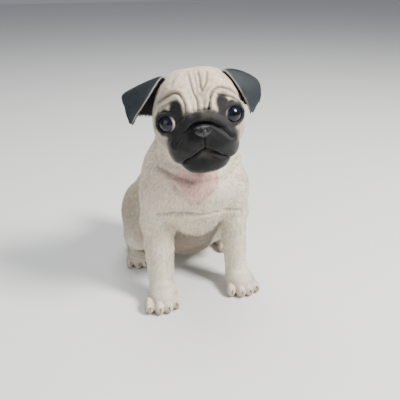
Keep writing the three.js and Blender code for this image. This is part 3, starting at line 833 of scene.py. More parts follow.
# %% [markdown]
# A marking is laid over a colour by mixing, and the share of the mix comes from an attribute of the
# mesh.

# %% Mixing colours


def fed(tree, socket, value):
    """Links a socket to another one, or sets it to a plain value."""
    if isinstance(value, bpy.types.NodeSocket):
        tree.links.new(value, socket)
    else:
        socket.default_value = value


def mixed(tree, share, a, b, kind="MIX"):
    """A colour mix. Share, a and b are sockets or plain values."""
    node = tree.nodes.new("ShaderNodeMix")
    node.data_type = "RGBA"
    node.blend_type = kind
    for value, index in ((share, 0), (a, 6), (b, 7)):
        fed(tree, node.inputs[index], value)
    return node.outputs[2]


def attribute(tree, name):
    """A float attribute of the mesh."""
    node = tree.nodes.new("ShaderNodeAttribute")
    node.attribute_name = name
    return node.outputs["Fac"]


print("colours can be mixed")

# %% [markdown]
# Hair and leather are never one flat colour. A noise varies them, a ramp picks out a part of its
# range, and a bump lets the light catch their fine grain without more faces.

# %% Noise, ramp and bump


def noise(tree, scale, detail=3.0, rough=0.6, stretch=(1, 1, 1)):
    """A noise on Object coordinates, in metres times scale."""
    where = tree.nodes.new("ShaderNodeTexCoord")
    mapping = tree.nodes.new("ShaderNodeMapping")
    mapping.inputs["Scale"].default_value = stretch
    tree.links.new(where.outputs["Object"], mapping.inputs[0])
    node = tree.nodes.new("ShaderNodeTexNoise")
    for key, value in (("Scale", scale), ("Detail", detail), ("Roughness", rough)):
        node.inputs[key].default_value = value
    tree.links.new(mapping.outputs[0], node.inputs[0])
    return node.outputs[0]


def ramp(tree, value, low, high, to_low=0.0, to_high=1.0):
    """Maps a value from one range to another, held at the ends."""
    node = tree.nodes.new("ShaderNodeMapRange")
    for key, number in enumerate((low, high, to_low, to_high), 1):
        node.inputs[key].default_value = number
    tree.links.new(value, node.inputs[0])
    return node.outputs[0]


def bumped(tree, shader, height, strength, metres, invert=False):
    """Lets a height stand out of the surface by so many metres."""
    bump = tree.nodes.new("ShaderNodeBump")
    bump.invert = invert
    bump.inputs["Strength"].default_value = strength
    bump.inputs["Distance"].default_value = metres
    tree.links.new(height, bump.inputs["Height"])
    tree.links.new(bump.outputs[0], shader.inputs["Normal"])


print("a noise at scale 60 has spots of about", round(1000 / 60), "mm")

# %% [markdown]
# The skin and the coat share one colour, so it is built once as a node group and placed in both
# materials. The group mixes in one marking after another, as layers of glaze are laid over each other.

# %% The coat's colour
ALONG_THE_COAT = (1, 1, 0.35)


def new_group(name, given, kind):
    """A node group with one input of a kind and one colour output."""
    tree = bpy.data.node_groups.new(name, "ShaderNodeTree")
    tree.interface.new_socket(given, in_out="INPUT", socket_type=kind)
    tree.interface.new_socket("Color", in_out="OUTPUT", socket_type="NodeSocketColor")
    source = tree.nodes.new("NodeGroupInput").outputs[0]
    return tree, source, tree.nodes.new("NodeGroupOutput").inputs[0]


def placed(tree, group, given):
    """The colour from a group that is placed in a material, given a value or a socket."""
    node = tree.nodes.new("ShaderNodeGroup")
    node.node_tree = group
    fed(tree, node.inputs[0], given)
    return node.outputs[0]


def layered(tree, colour, paints):
    """Mixes paints over a colour, each by the share that the attribute of its name gives."""
    for mark, paint in paints.items():
        colour = mixed(tree, attribute(tree, mark), colour, colour_of(*paint))
    return colour


coat_colour, shade, result = new_group("coat_colour", "Shade", "NodeSocketFloat")
patches = ramp(coat_colour, noise(coat_colour, 60, 4), 0.35, 0.65)
colour = mixed(coat_colour, patches, colour_of(228, 209, 180), colour_of(243, 230, 207))
streaks = ramp(coat_colour, noise(coat_colour, 330, 3, 0.7, ALONG_THE_COAT), 0.42, 0.62, 0.0, 0.42)
colour = mixed(coat_colour, streaks, colour, colour_of(176, 156, 132))
# The crease paint is painted shade in the skin's folds; pale includes a painted highlight on the breast.
colour = layered(coat_colour, colour, {
    "grey": (120, 106, 94), "pale": (253, 243, 220), "pink": (240, 186, 178), "crease": (92, 80, 74),
    "black": (19, 18, 20)})
# Shade multiplies the whole colour, for painted shade on surfaces that lie under hair.
coat_colour.links.new(mixed(coat_colour, 1.0, colour, shade, "MULTIPLY"), result)
print("the coat's colour has", len(coat_colour.nodes), "nodes")

# %% [markdown]
# The skin itself is the same colour, only a little darker: painted shade, as it lies among the roots
# of the coat. It stands for all of the flesh nodes, which were cut apart only for the solid model.

# %% The piece of skin
skin_material, tree, shader = fresh("coat_close_to_skin", {"Roughness": 0.78, "Sheen Weight": 0.2})
# A Shade of 0.86 paints the skin darker, as shade under the coat.
tree.links.new(placed(tree, coat_colour, 0.86), shader.inputs["Base Color"])
bumped(tree, shader, noise(tree, 900, 3, 0.7, ALONG_THE_COAT), 0.5, 0.0006)

FLESH_NODES = [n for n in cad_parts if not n.startswith(("eye", "ear", "nose"))]
skin = piece("skin", skin_points, skin_faces, skin_material, "fawn", FLESH_NODES,
             attributes=dict(zip(MARKS, skin_marks.T)))
print("the skin stands for", len(FLESH_NODES), "nodes")

# %% [markdown]
# The eyes are true balls set in their sockets, 18 mm across. Eyes, claws and whiskers are all stacks
# of rings that close at both ends, so one function gives the faces of them all, each turned outwards.

# %% Rings closed at both ends


def ringed(rings, around):
    """Triangles of a stack of rings. The first end is the point after all the rings, and the last
    end is the next one."""
    i, j = np.meshgrid(np.arange(rings - 1), np.arange(around), indexing="ij")
    k = (j + 1) % around
    a, b, c, d = i * around + j, i * around + k, (i + 1) * around + k, (i + 1) * around + j
    j, k, last = j[0], k[0], (rings - 1) * around
    end = np.full(around, rings * around)
    parts = ([a, b, c], [a, c, d], [end, k, j], [end + 1, last + j, last + k])
    return np.concatenate([np.stack(part, -1).reshape(-1, 3) for part in parts])


def eyeball(side, sight, rings=47, around=72):
    """Points, faces, and angle from the line of sight of a ball with its pole on that line. The clear
    front bulges by a twentieth of the radius, times bell(angle, 0.6)."""
    sight = unit(np.asarray(sight, float))
    a, b = np.meshgrid(np.linspace(0, np.pi, rings + 2)[1:-1], np.arange(around) * 2 * np.pi / around,
                       indexing="ij")
    u = unit(np.cross(sight, [0, 0, 1.0]))
    v = np.cross(u, sight)
    radius = EYE_RADIUS * (1 + 0.05 * bell(a, 0.6))[..., None]
    shell = radius * (np.cos(a)[..., None] * sight + np.sin(a)[..., None]
                      * (np.cos(b)[..., None] * u + np.sin(b)[..., None] * v))
    points = np.vstack([shell.reshape(-1, 3), sight * EYE_RADIUS * 1.05, -sight * EYE_RADIUS])
    return from_head(points + EYE_AT * [side, 1, 1]), ringed(rings, around), np.r_[a.ravel(), 0, np.pi]


print("an eyeball has", len(ringed(47, 72)), "faces")

# %% [markdown]
# A pug puppy's iris is so dark and so wide that it nearly fills the opening, and a sliver of white
# shows at the inner corner. The paint follows the angle from the line of sight. A clear coat over it
# gives the wet shine. The two eyes look a little apart, as in the photograph.

# %% Eyes
EYE_PAINT = ((0.0, (3, 4, 7)), (0.20, (4, 5, 9)), (0.25, (12, 13, 30)), (0.38, (19, 20, 42)),
             (0.46, (12, 9, 16)), (0.51, (36, 27, 27)), (0.56, (140, 122, 120)),
             (0.62, (208, 203, 210)), (0.8, (205, 192, 194)), (1.0, (180, 145, 138)))
WIDEST_PAINT = 1.6
SIGHTS = {"right": (-1, (-0.72, -1.0, 0.05)), "left": (1, (0.52, -1.0, 0.0))}
eye_material, tree, shader = fresh("eye_wet", {
    "Roughness": 0.3, "Specular IOR Level": 0.1, "Coat Weight": 1.0, "Coat Roughness": 0.015,
    "Coat IOR": 1.36})
rings_of_paint = tree.nodes.new("ShaderNodeValToRGB")
tree.links.new(ramp(tree, attribute(tree, "off_sight"), 0.0, WIDEST_PAINT), rings_of_paint.inputs[0])
stops = rings_of_paint.color_ramp.elements
for at, paint in EYE_PAINT:
    stops.new(at).color = colour_of(*paint)
stops.remove(stops[0])
stops.remove(stops[-1])
tree.links.new(rings_of_paint.outputs[0], shader.inputs["Base Color"])
for name, (side, sight) in SIGHTS.items():
    points, triangles, off = eyeball(side, sight)
    piece("eyeball_" + name, points, triangles, eye_material, "eye_dark", ("eye_" + name,),
          attributes={"off_sight": off})
print("two eyes,", 2 * EYE_RADIUS, "mm across")

# %% [markdown]
# The nose leather is a small wet pad of its own, with two comma-shaped nostrils and a groove down its
# middle. Carving them from the skin would need a far finer grid everywhere, so the pad has its own
# small field.

# %% The shape of the nose
NOSTRIL = [(2.3, -48.0, -6.4), (3.6, -47.8, -6.9), (5.2, -46.8, -6.0), (6.9, -45.1, -5.6)]
PAD = [(0, ball, (0, -42.6, -7.6), (6.6, 5.3, 5.2)), (1.0, ball, (4.3, -43.2, -7.2), (2.9, 4.6, 3.7))]


def nostrils(q):
    """Distance to the two nostrils, each a bent bar that narrows outwards, and to the groove."""
    m = np.stack([np.abs(q[:, 0]), q[:, 1], q[:, 2]], -1).astype(np.float32)
    hole = np.full(len(q), 1e3)
    for k, (a, b) in enumerate(zip(NOSTRIL, NOSTRIL[1:])):
        hole = np.minimum(hole, bone(m, a, b, 1.75 - 0.25 * k, 1.5 - 0.25 * k))
    return np.minimum(hole, bone(m, (0, -49.2, -6.5), (0, -46.5, -15), 0.5, 0.75))


def leather(q):
    """Distance to the nose pad in the head's frame, less its nostrils and groove. Sideways it shrinks
    by up to 0.35 towards its lower end."""
    x, y, z = np.abs(q[:, 0]), q[:, 1], q[:, 2]
    low_down = np.clip((-8 - z) / 6, 0, 1)
    s = np.stack([x / (1 - 0.35 * low_down), y, z], -1).astype(np.float32)
    return -meet(-heaped(s, PAD), nostrils(q), 0.7)


cell = 0.36
nose_axes = (np.arange(-10, 10.1, cell), np.arange(-52, -36, cell), np.arange(-16, 0.1, cell))
nose_points, nose_faces = netted(sampled(leather, nose_axes), nose_axes)
nose_points = drawn(leather, nose_points, 0.2, 2)
print("nose pad:", len(nose_faces), "faces")

# %% [markdown]
# Nose leather is pebbled, and it shines where it is wet. A texture of small cells gives the pebbles, and
# the insides of the nostrils are dull and painted nearly black, as shade deep in them.

# %% Nose leather
leather_material, tree, shader = fresh("nose_leather", {
    "Specular IOR Level": 0.4, "Coat Weight": 0.35, "Coat Roughness": 0.08})
deep = attribute(tree, "deep")
# Painted shade: the deep share turns the nostrils' insides nearly black.
tree.links.new(mixed(tree, deep, colour_of(42, 42, 47), colour_of(3, 3, 4)), shader.inputs["Base Color"])
tree.links.new(ramp(tree, deep, 0, 1, 0.4, 0.9), shader.inputs["Roughness"])
pebbles = tree.nodes.new("ShaderNodeTexVoronoi")
pebbles.inputs["Scale"].default_value = 1300
where = tree.nodes.new("ShaderNodeTexCoord")
tree.links.new(where.outputs["Object"], pebbles.inputs["Vector"])
bumped(tree, shader, pebbles.outputs["Distance"], 0.7, 0.0004, invert=True)
piece("nose_pad", from_head(nose_points), nose_faces, leather_material, "nose_leather", ("nose",),
      attributes={"deep": step(0.9, 0.1, nostrils(nose_points))})
print("the nose stands for one node")

# %% [markdown]
# An ear is a thin folded leaf. It could be bent from a flat sheet, but four rows of three places say
# directly how it leaves the head, folds forward and hangs to its tip. The right ear stands out more
# than the left.

# %% The sheet of an ear
EAR_ROWS = {
    "left": [[(21, -8, 26), (26, 4, 25), (28, 14, 16)], [(25.5, -10, 33), (39, -2, 30), (52, 7, 21)],
             [(35, -13, 18), (47, -6, 14), (54, 1, 9)], [(42, -10, -1), (44, -8, -3), (46.5, -5, -1)]],
    "right": [[(21, -8, 27), (26, 3, 26), (28, 14, 17)], [(25, -10, 35), (40, -1, 31.5), (58, 7, 25)],
              [(40, -13, 19), (50, -5, 19), (59, 2, 13)], [(53.5, -9, 4), (55.5, -6, 2), (58, -3, 5)]]}
MIRROR = {"left": 1, "right": -1}


def leaf(side, s, t):
    """Places of the ear's middle sheet: across it by the curve through three places, along it by the
    smooth curve through the rows. Both shares run from 0 to 1, and near the tip s is drawn in."""
    s, t = np.asarray(s, float), np.asarray(t, float)
    s = 0.5 + (s - 0.5) * np.sqrt(1 - 0.8 * np.clip((t - 0.72) / 0.28, 0, 1) ** 2)
    rows = np.array(EAR_ROWS[side], float)
    rows[:, :, 0] *= MIRROR[side]
    rows = np.concatenate([rows[:1], rows, rows[-1:]])
    s, t = s[..., None], t[..., None]
    weight = ((2 * s - 1) * (s - 1), 4 * s * (1 - s), s * (2 * s - 1))
    at = np.clip(t * 3, 0, 2.999)
    k = at.astype(int)[..., 0]
    four = (sum(w * rows[k + n, m] for m, w in enumerate(weight)) for n in range(4))
    return led(*four, at - k[..., None])


def leaf_frame(side, s, t, e=1e-3):
    """Place, direction along the ear, and outward normal at shares s and t, by small steps."""
    s, t = np.clip(s, e, 1 - e), np.clip(t, e, 1 - e)
    along = leaf(side, s, t + e) - leaf(side, s, t - e)
    across = leaf(side, s + e, t) - leaf(side, s - e, t)
    return leaf(side, s, t), unit(along), unit(np.cross(across, along) * -MIRROR[side])


for side in MIRROR:
    print("the tip of the", side, "ear is at", leaf(side, 0.5, 1.0).round(0))

# %% [markdown]
# A real ear has an outside, an inside and an edge. Two copies of the sheet, joined around the rim,
# give all three. The Solidify modifier does the same, but not with a thickness of one's own formula.

# %% Closed sheets


def sheeted(side, front, back):
    """Points and faces of a closed sheet between two grids of points in the head's frame."""
    count = front.shape[0] * front.shape[1]
    grid = np.arange(count).reshape(front.shape[:2])
    quad = np.stack([grid[:-1, :-1], grid[1:, :-1], grid[1:, 1:], grid[:-1, 1:]], -1).reshape(-1, 4)
    rim = np.concatenate([grid[:, 0], grid[-1, 1:], grid[-2::-1, -1], grid[0, -2:0:-1]])
    after = np.roll(rim, -1)
    wall = np.stack([after, rim, rim + count, after + count], -1)
    faces = np.vstack([quad, quad[:, ::-1] + count, wall])
    points = np.vstack([front.reshape(-1, 3), back.reshape(-1, 3)])
    return from_head(points), faces[:, ::-1] if side == "left" else faces


small = np.zeros((3, 4, 3))
print("a sheet of 2 by 3 faces is closed by", len(sheeted("left", small, small)[1]) - 12, "more")

# %% [markdown]
# The leaf gets thinner towards its tip and is rounded off at its rim. The outside is charcoal, the
# inside brown, and a pale line of painted highlight runs along the front rim.

# %% The leaf with its thickness


def inset_of(s):
    """How far in from the leaf's two long edges, from nothing to one within 0.08 of its width."""
    return np.clip(np.minimum(s, 1 - s) / 0.08, 0, 1)


def half_thick(t, inset):
    """Half the leaf's thickness: 1.3 - 0.6 t, times the square root of how far in it is."""
    return (1.3 - 0.6 * t) * np.sqrt(np.maximum(inset, 0.02))


def ear_marks(s, t, inside):
    """The ear's paint as attributes: fawn root, brown inside, a painted highlight on the front rim."""
    return {"root": 0.8 * (1 - step(0.05, 0.32, t)) * (1 - inside), "inside": inside,
            "rim": 0.8 * step(0.05, 0.0, s) * step(0.15, 0.4, t)}


def ear_skin(side, across=28, along=44):
    """Points, faces and marks of the leaf. Its columns lie closer together at both edges."""
    s, t = np.meshgrid(np.linspace(0, 1, across + 1), np.linspace(0, 1, along + 1), indexing="ij")
    s = 0.5 - 0.5 * np.cos(np.pi * s)
    at, _, normal = leaf_frame(side, s, t)
    inset = inset_of(s) * np.clip((1 - t) / 0.05, 0, 1)
    half = normal * half_thick(t, inset)[..., None]
    inside = np.repeat([0.0, 1.0], s.size)
    return *sheeted(side, at + half, at - half), ear_marks(np.tile(s.ravel(), 2), np.tile(t.ravel(), 2),
                                                           inside)


print("a leaf has", len(ear_skin("left")[0]), "points")

# %% [markdown]
# Behind the folded leaf the ear is a cup, which would be open to the back here. A thin dark wall
# closes it, between the side of the head and the leaf's back edge. Its brown is the ear's inside colour,
# and it also stands for the shade deep in the cup.

# %% The back wall of the ear's cup
CUP_LINE, CUP_WAY, CUP_BOW = np.array([27.0, 10.0, 18.0]), np.array([6.0, -6.0, -15.0]), 3.0
CUP_START, CUP_END, CUP_HALF = 0.02, 0.8, np.array([0, 0.5, 0])


def cup_sheet(side, s, t):
    """Places of the wall, straight across from the head to the leaf's edge apart from a bow backwards
    of 4 s (1 - s) times 3 mm."""
    s, mirror = s[..., None], np.array([MIRROR[side], 1, 1])
    line = CUP_LINE * mirror + t[..., None] * (CUP_WAY * mirror)
    edge = leaf(side, np.full_like(t, 0.85), t)
    return line * (1 - s) + edge * s + (4 * s * (1 - s)) * np.array([0, CUP_BOW, 0])


def ear_wall(side, across=10, along=26):
    """That wall as a thin closed sheet."""
    s, t = np.meshgrid(np.linspace(0, 1, across + 1), np.linspace(CUP_START, CUP_END, along + 1),
                       indexing="ij")
    at = cup_sheet(side, s, t)
    return sheeted(side, at - CUP_HALF, at + CUP_HALF)


print("a cup's wall has", len(ear_wall("left")[1]), "faces")

# %% [markdown]
# The skin of the ear and its hair share their colour too, so it is a second group.

# %% Ears
ear_colour, shade, result = new_group("ear_colour", "Shade", "NodeSocketFloat")
# rim is a painted highlight along the ear's front edge.
colour = layered(ear_colour, colour_of(50, 57, 62), {
    "root": (176, 162, 144), "inside": (50, 43, 43), "rim": (172, 166, 160)})
ear_colour.links.new(mixed(ear_colour, 1.0, colour, shade, "MULTIPLY"), result)
ear_material, tree, shader = fresh("ear_skin", {"Roughness": 0.6, "Sheen Weight": 0.3})
# A Shade of 0.9 paints the ear's skin darker, as shade under its velvet.
tree.links.new(placed(tree, ear_colour, 0.9), shader.inputs["Base Color"])
for name in ("right", "left"):
    points, faces, marks = ear_skin(name)
    piece("ear_leaf_" + name, points, faces, ear_material, "ear_charcoal", ("ear_" + name,),
          attributes=marks)
    # The wall is painted the inside brown, partly the ear's own colour and partly painted shade in the
    # cup.
    points, faces = ear_wall(name)
    piece("ear_cup_" + name, points, faces, ear_material, "ear_charcoal",
          attributes={"inside": np.ones(len(points))})
print("two ears")

# %% [markdown]
# Claws and whiskers are thin tapered tubes. Bevelled curves would do too, but arrays make all of them
# in one mesh.

# %% Tubes


def tubes(lines, widths, sides):
    """Closed tapered tubes along many lines at once: rings of points around each line. Lines is tubes
    x points x 3, and widths is tubes x points."""
    lines, widths = np.asarray(lines, float), np.asarray(widths, float)
    count, steps = widths.shape
    way = unit(np.gradient(lines, axis=1))
    u = unit(np.cross(way, [0.31, 0.2, 0.93]))
    v = np.cross(way, u)
    turn = np.arange(sides) * 2 * np.pi / sides
    ring = np.cos(turn)[:, None] * u[:, :, None] + np.sin(turn)[:, None] * v[:, :, None]
    body = lines[:, :, None] + ring * widths[..., None, None]
    points = np.concatenate([body.reshape(count, -1, 3), lines[:, :1], lines[:, -1:]], axis=1)
    first = np.arange(count) * (steps * sides + 2)
    return points.reshape(-1, 3), (ringed(steps, sides)[None] + first[:, None, None]).reshape(-1, 3)


print("a tube of 3 rings of 8 points has", len(tubes(np.eye(3)[None], np.ones((1, 3)), 8)[1]), "faces")

# %% [markdown]
# Each claw curves down in front of its toe. Claws are horn, smooth and a little shiny.

# %% Claws


def claw(at, k, size):
    """The middle line of the claw of toe k, 6 mm long before it is scaled."""
    return [at, at + [0.3 * k, -2 * size, 0.1], at + [0.6 * k, -4 * size, -0.6],
            at + [0.8 * k, -6 * size, -2.4]]


claw_lines, claw_widths = [], []
for side in ("right", "left"):
    j = joints(side)
    rows = [(j["toes"][0], j["toes"][1] - 7.5, 7.2, 7.9, 0.7),
            (j["instep"][0] + (4 if side == "left" else 0), j["instep"][1] - 18.5, 6.6, 7.0, 0.65)]
    for x, y, z, apart, size in rows:
        for k in TOES:
            claw_lines.append(claw(np.array([x + k * apart, y + toe_back(k), z]), k, size))
            claw_widths.append(np.array([1.5, 1.3, 0.9, 0.25]) * size)
claw_material, tree, shader = fresh("claw_horn", {
    "Base Color": colour_of(120, 104, 98), "Roughness": 0.35})
piece("claws", *tubes(claw_lines, claw_widths, 8), claw_material, "")
print(len(claw_lines), "claws")

# %% [markdown]
# Whiskers fan back from the cushions of the upper lip and droop a little at their ends.

# %% Whiskers
WHISKERS_A_SIDE = 13
WHISKER_THICK = 0.11
draw = np.random.default_rng(11)
whisker_lines, whisker_widths = [], []
for side in (-1, 1):
    for k in range(WHISKERS_A_SIDE):
        row, place = k % 4, k // 4
        root = np.array([side * (9 + 4.2 * place + draw.uniform(-0.6, 0.6)), 0, -13 - 3.2 * row])
        root[1] = -41 + 0.035 * root[0] ** 2
        way = unit(np.array([side * (0.75 + 0.15 * place), -0.35 + 0.25 * place, -0.3 - 0.25 * row]))
        long = draw.uniform(9, 17)
        t = np.linspace(0, 1, 7)[:, None]
        droop = np.array([side * 0.5, 1.4, -2.2]) * t * t
        whisker_lines.append(from_head(root + way * long * t + droop))
        whisker_widths.append(WHISKER_THICK * (1 - 0.85 * t[:, 0]))
whisker_material, tree, shader = fresh("whisker", {"Base Color": colour_of(30, 28, 28), "Roughness": 0.4})
piece("whiskers", *tubes(whisker_lines, whisker_widths, 4), whisker_material, "black_mask")
print(len(whisker_lines), "whiskers")

# %% [markdown]
# Hair lies along the body. On the face it runs back from the nose, on the trunk down and back, on the
# legs down, on the feet towards the toes, and on the tail along its curl. A direction that changes
# smoothly is what makes tufts read as one coat.

# %% The lie of the coat


def blend(a, b, share):
    """From a to b by a share."""
    return a * (1 - share) + b * share


def lie_of(p):
    """The direction in which hair at p runs, before it is laid flat on the skin."""
    back = unit(to_head(p) - np.array([0.0, -52.0, -6.0]))
    head_way = (back + [0, 0.5, -0.05]) @ HEAD.T
    way = np.stack([np.zeros(len(p)), 0.25 + 0.6 * step(10, 60, p[:, 1]),
                    -1.0 + 0.4 * step(60, 100, p[:, 1])], -1)
    chest = step(12, -18, p[:, 1]) * (1 - step(150, 165, p[:, 2]))
    way[:, 0] += 0.45 * chest * np.sign(p[:, 0] + 3) * step(0, 26, np.abs(p[:, 0] + 3))
    way = blend(way, np.array([0, -1.0, -0.25]), step(19, 9, p[:, 2])[:, None])
    way = blend(way, head_way, np.clip(1 - skull(p) / 12, 0, 1)[:, None])
    places = tail_line(np.linspace(0, 1, 60))
    near = np.linalg.norm(p[:, None] - places[None], axis=-1).argmin(1)
    runs = unit(np.gradient(places, axis=0)[near])
    return np.where((tail(p) < 1.5)[:, None], runs, way)


print("on the back hair runs along", lie_of(np.array([[0.0, 60.0, 110.0]]))[0].round(2))

# %% [markdown]
# A pug puppy's coat is plush and short. The tufts are one to two millimetres long on face and feet, and
# three to five on the trunk, the longest below the belly.

# %% The length of the coat


def length_of(p):
    """The coat's length in millimetres at p, one region after another blended in."""
    q = to_head(p)
    on_head = np.clip(1 - skull(p) / 7, 0, 1)
    face = step(-6, -20, q[:, 1]) * on_head
    low_leg = step(55, 22, p[:, 2]) * (np.abs(p[:, 0]) > 26)
    belly = (np.abs(p[:, 0]) < 26) * step(6, 0, p[:, 1]) * step(86, 80, p[:, 2])
    long = 3.3 + 0.7 * step(155, 135, p[:, 2]) * step(30, 0, p[:, 1])
    long = blend(long, 2.3, low_leg) + 1.2 * belly
    for there, share in ((1.6, step(22, 12, p[:, 2])), (1.9, on_head), (1.35, face)):
        long = blend(long, there, share)
    near_eye = bell(np.hypot(np.abs(q[:, 0]) - EYE_APART, q[:, 2]), 12) * face
    near_lips = bell(np.hypot(q[:, 0] / 1.4, q[:, 2] + 14), 11) * face
    return long * (1 - 0.4 * most(near_eye, near_lips))


back_and_nose = np.array([[0.0, 60, 110], [-12, -62, 165]])
print("coat lengths on the back and the nose:", length_of(back_and_nose).round(1), "mm")

# %% [markdown]
# The skin is unwrapped once. Each tuft of the coat remembers the place of its root on that flat map,
# so its colour can be baked to one small patch there.

# %% Unwrapping the skin
bpy.context.view_layer.objects.active = skin
skin.select_set(True)
bpy.ops.object.mode_set(mode="EDIT")
bpy.ops.mesh.select_all(action="SELECT")
bpy.ops.uv.smart_project(angle_limit=1.25, island_margin=0.0006)
bpy.ops.object.mode_set(mode="OBJECT")
skin.data.uv_layers[0].name = "unwrap"
flat = np.empty(len(skin.data.loops) * 2, np.float32)
skin.data.uv_layers[0].data.foreach_get("uv", flat)
skin_flat = flat.reshape(-1, 4, 2)
print("unwrapped,", round(time.time() - started, 1), "s")

# %% [markdown]
# Fur could be particle hair, but a still model needs real faces. A tuft is four points: a root just
# under the skin, a left and a right side where it is widest, and a tip. Those four make a closed, thin
# sliver, so hundreds of thousands of them stay light.

# %% The shape of a tuft
TUFT_FACES = np.array([[0, 1, 2], [1, 3, 2], [0, 3, 1], [0, 2, 3]])
ROOT_DEPTH = 0.35


def strewn(n, way, across, root, draw, seed):
    """Two directions across the skin, turned by a random angle that also waves over the body."""
    yaw = draw.normal(0, 0.16, n) + 0.22 * waves(root, 11, seed) + 0.12 * waves(root, 4, seed + 1)
    c, s = np.cos(yaw)[:, None], np.sin(yaw)[:, None]
    return way * c + across * s, across * c - way * s


def tufts(root, normal, way, long, wide, lift, seed):
    """Points, faces, normals and tones of curved slivers. The middle stands at 0.42 of the length and
    0.62 of the tip's height, so the tip bends back to the skin."""
    draw = np.random.default_rng(seed)
    n = len(root)
    way = unit(way - normal * (way * normal).sum(1, keepdims=True))
    way, across = strewn(n, way, np.cross(normal, way), root, draw, seed)
    long = (long * draw.uniform(0.7, 1.2, n))[:, None]
    lift = (lift * draw.uniform(0.5, 1.5, n))[:, None]
    half = (wide * draw.uniform(0.7, 1.3, n))[:, None] / 2
    middle = root + way * long * 0.42 * np.cos(lift) + normal * long * 0.62 * np.sin(lift)
    tip = root + way * long * np.cos(lift) + normal * long * np.sin(lift)
    points = np.stack([root - normal * ROOT_DEPTH, middle - across * half, middle + across * half, tip], 1)
    bent = unit(np.stack([normal - 0.2 * way, normal - 0.55 * across, normal + 0.55 * across,
                          normal + 0.45 * way], 1))
    faces = (TUFT_FACES[None] + 4 * np.arange(n)[:, None, None]).reshape(-1, 3)
    return points.reshape(-1, 3), faces, bent.reshape(-1, 3), draw.uniform(0, 1, n)


print("a tuft has", len(TUFT_FACES), "faces")

# %% [markdown]
# Roots are drawn at random over the skin by area, closer together where the coat is short. A piece of
# coat gets normals that follow the skin, so that the light rolls over it as over plush, and a patch
# on the flat map for each tuft.

# %% A piece of coat
PATCH = 0.0015 * np.array([[0, -1], [-1, 0], [1, 0], [0, 1]])
COAT_FLOOR_GAP = 0.05


def spread(faces_at, weight, count, seed):
    """Random places on four-sided faces, more where the weight per area is higher. Gives the face,
    and the shares of its four corners."""
    draw = np.random.default_rng(seed)
    a, b, c, d = (faces_at[:, k] for k in range(4))
    area = np.linalg.norm(np.cross(c - a, d - b), axis=1) / 2 * weight
    face = np.searchsorted(np.cumsum(area), draw.uniform(0, area.sum(), count))
    u, v = draw.uniform(0, 1, (2, count))
    shares = np.stack([(1 - u) * (1 - v), u * (1 - v), u * v, (1 - u) * v], -1)
    return np.minimum(face, len(faces_at) - 1), shares


def coat_piece(name, shape, marks, place, material, slot, seed):
    """One piece of coat with its attributes, its normals, and its map of root places. Gives the
    number of its faces."""
    points, faces, bent, tone = tufts(*shape, seed)
    attributes = {key: np.repeat(values, 4) for key, values in marks.items()}
    attributes["tone"] = np.repeat(tone, 4)
    attributes["along"] = np.tile([0.0, 0.5, 0.5, 1.0], len(tone))
    points[:, 2] = np.maximum(points[:, 2], COAT_FLOOR_GAP)
    made = piece(name, points, faces, material, slot, attributes=attributes)
    made.data.normals_split_custom_set_from_vertices(bent.astype(np.float32))
    layer = made.data.uv_layers.new(name="OFBake")
    uv = (place[:, None] + PATCH).reshape(-1, 2)[faces.ravel()]
    layer.data.foreach_set("uv", np.clip(uv, 0, 1).astype(np.float32).ravel())
    return len(faces)


print("each tuft's patch is", np.ptp(PATCH[:, 0]), "of the map wide")

# %% [markdown]
# Hair is painted lighter at its tip and darker at its root, as light on the coat's surface and shade down
# in it, and no two tufts have quite the same tone. Both effects are one more group, for the hair of the
# body and of the ears.

# %% The tone of tufts
# along paints shade at the roots and light at the tips; tone is each tuft's random tone.
TONES = {"tone": (0.64, 1.24), "along": (0.86, 1.06)}
tuft_tone, colour, result = new_group("tuft_tone", "Color", "NodeSocketColor")
for mark, limits in TONES.items():
    share = ramp(tuft_tone, attribute(tuft_tone, mark), 0, 1, *limits)
    colour = mixed(tuft_tone, 1.0, colour, share, "MULTIPLY")
tuft_tone.links.new(colour, result)


def hair(name, group, settings):
    """A material for tufts: a coat's colour through the tone of tufts."""
    material, tree, shader = fresh(name, settings)
    toned = placed(tree, tuft_tone, placed(tree, group, 1.0))
    tree.links.new(toned, shader.inputs["Base Color"])
    return material


coat_material = hair("coat_hair", coat_colour, {
    "Roughness": 0.66, "Specular IOR Level": 0.35, "Sheen Weight": 0.2, "Sheen Roughness": 0.5})
darkest = TONES["tone"][0] * TONES["along"][0]
print("the darkest tuft has", round(darkest, 2), "of the coat's colour at its root")

# %% [markdown]
# Now the coat grows. Each root takes its place, normal and flat place from the face it stands on, and
# its direction, length and markings from the formulas above.

# %% Rooting the tufts
COUNT = 325000
QUICK_WIDER = 1


def at_roots(values):
    """Corner values of the skin's faces, at the roots."""
    return (values * share[..., None]).sum(1)


corners = skin_points[skin_faces]
middles = corners.mean(1)
density = 1 / length_of(middles) ** 1.2
density[(sockets(middles) > -0.8) | (middles[:, 2] < 1.2)] = 0
face, share = spread(corners, density, COUNT, 5)
root = at_roots(corners[face])
normal = unit(at_roots(skin_normals[skin_faces[face]]))
place = at_roots(skin_flat[face])
way = lie_of(root)
long = length_of(root) * (1 + 0.12 * waves(root, 14, 21))
wide = np.interp(long, [0.8, 1.4, 2.5, 4], [0.2, 0.25, 0.31, 0.36]) * QUICK_WIDER
lift = np.radians(np.interp(long, [1, 3, 6], [13, 14, 18]))
marks = markings(root)
print("tufts are", round(float(long.min()), 1), "to", round(float(long.max()), 1), "mm long")

# %% [markdown]
# The coat is cut into pieces by region, and a large region into equal parts, so that none gets too
# heavy.

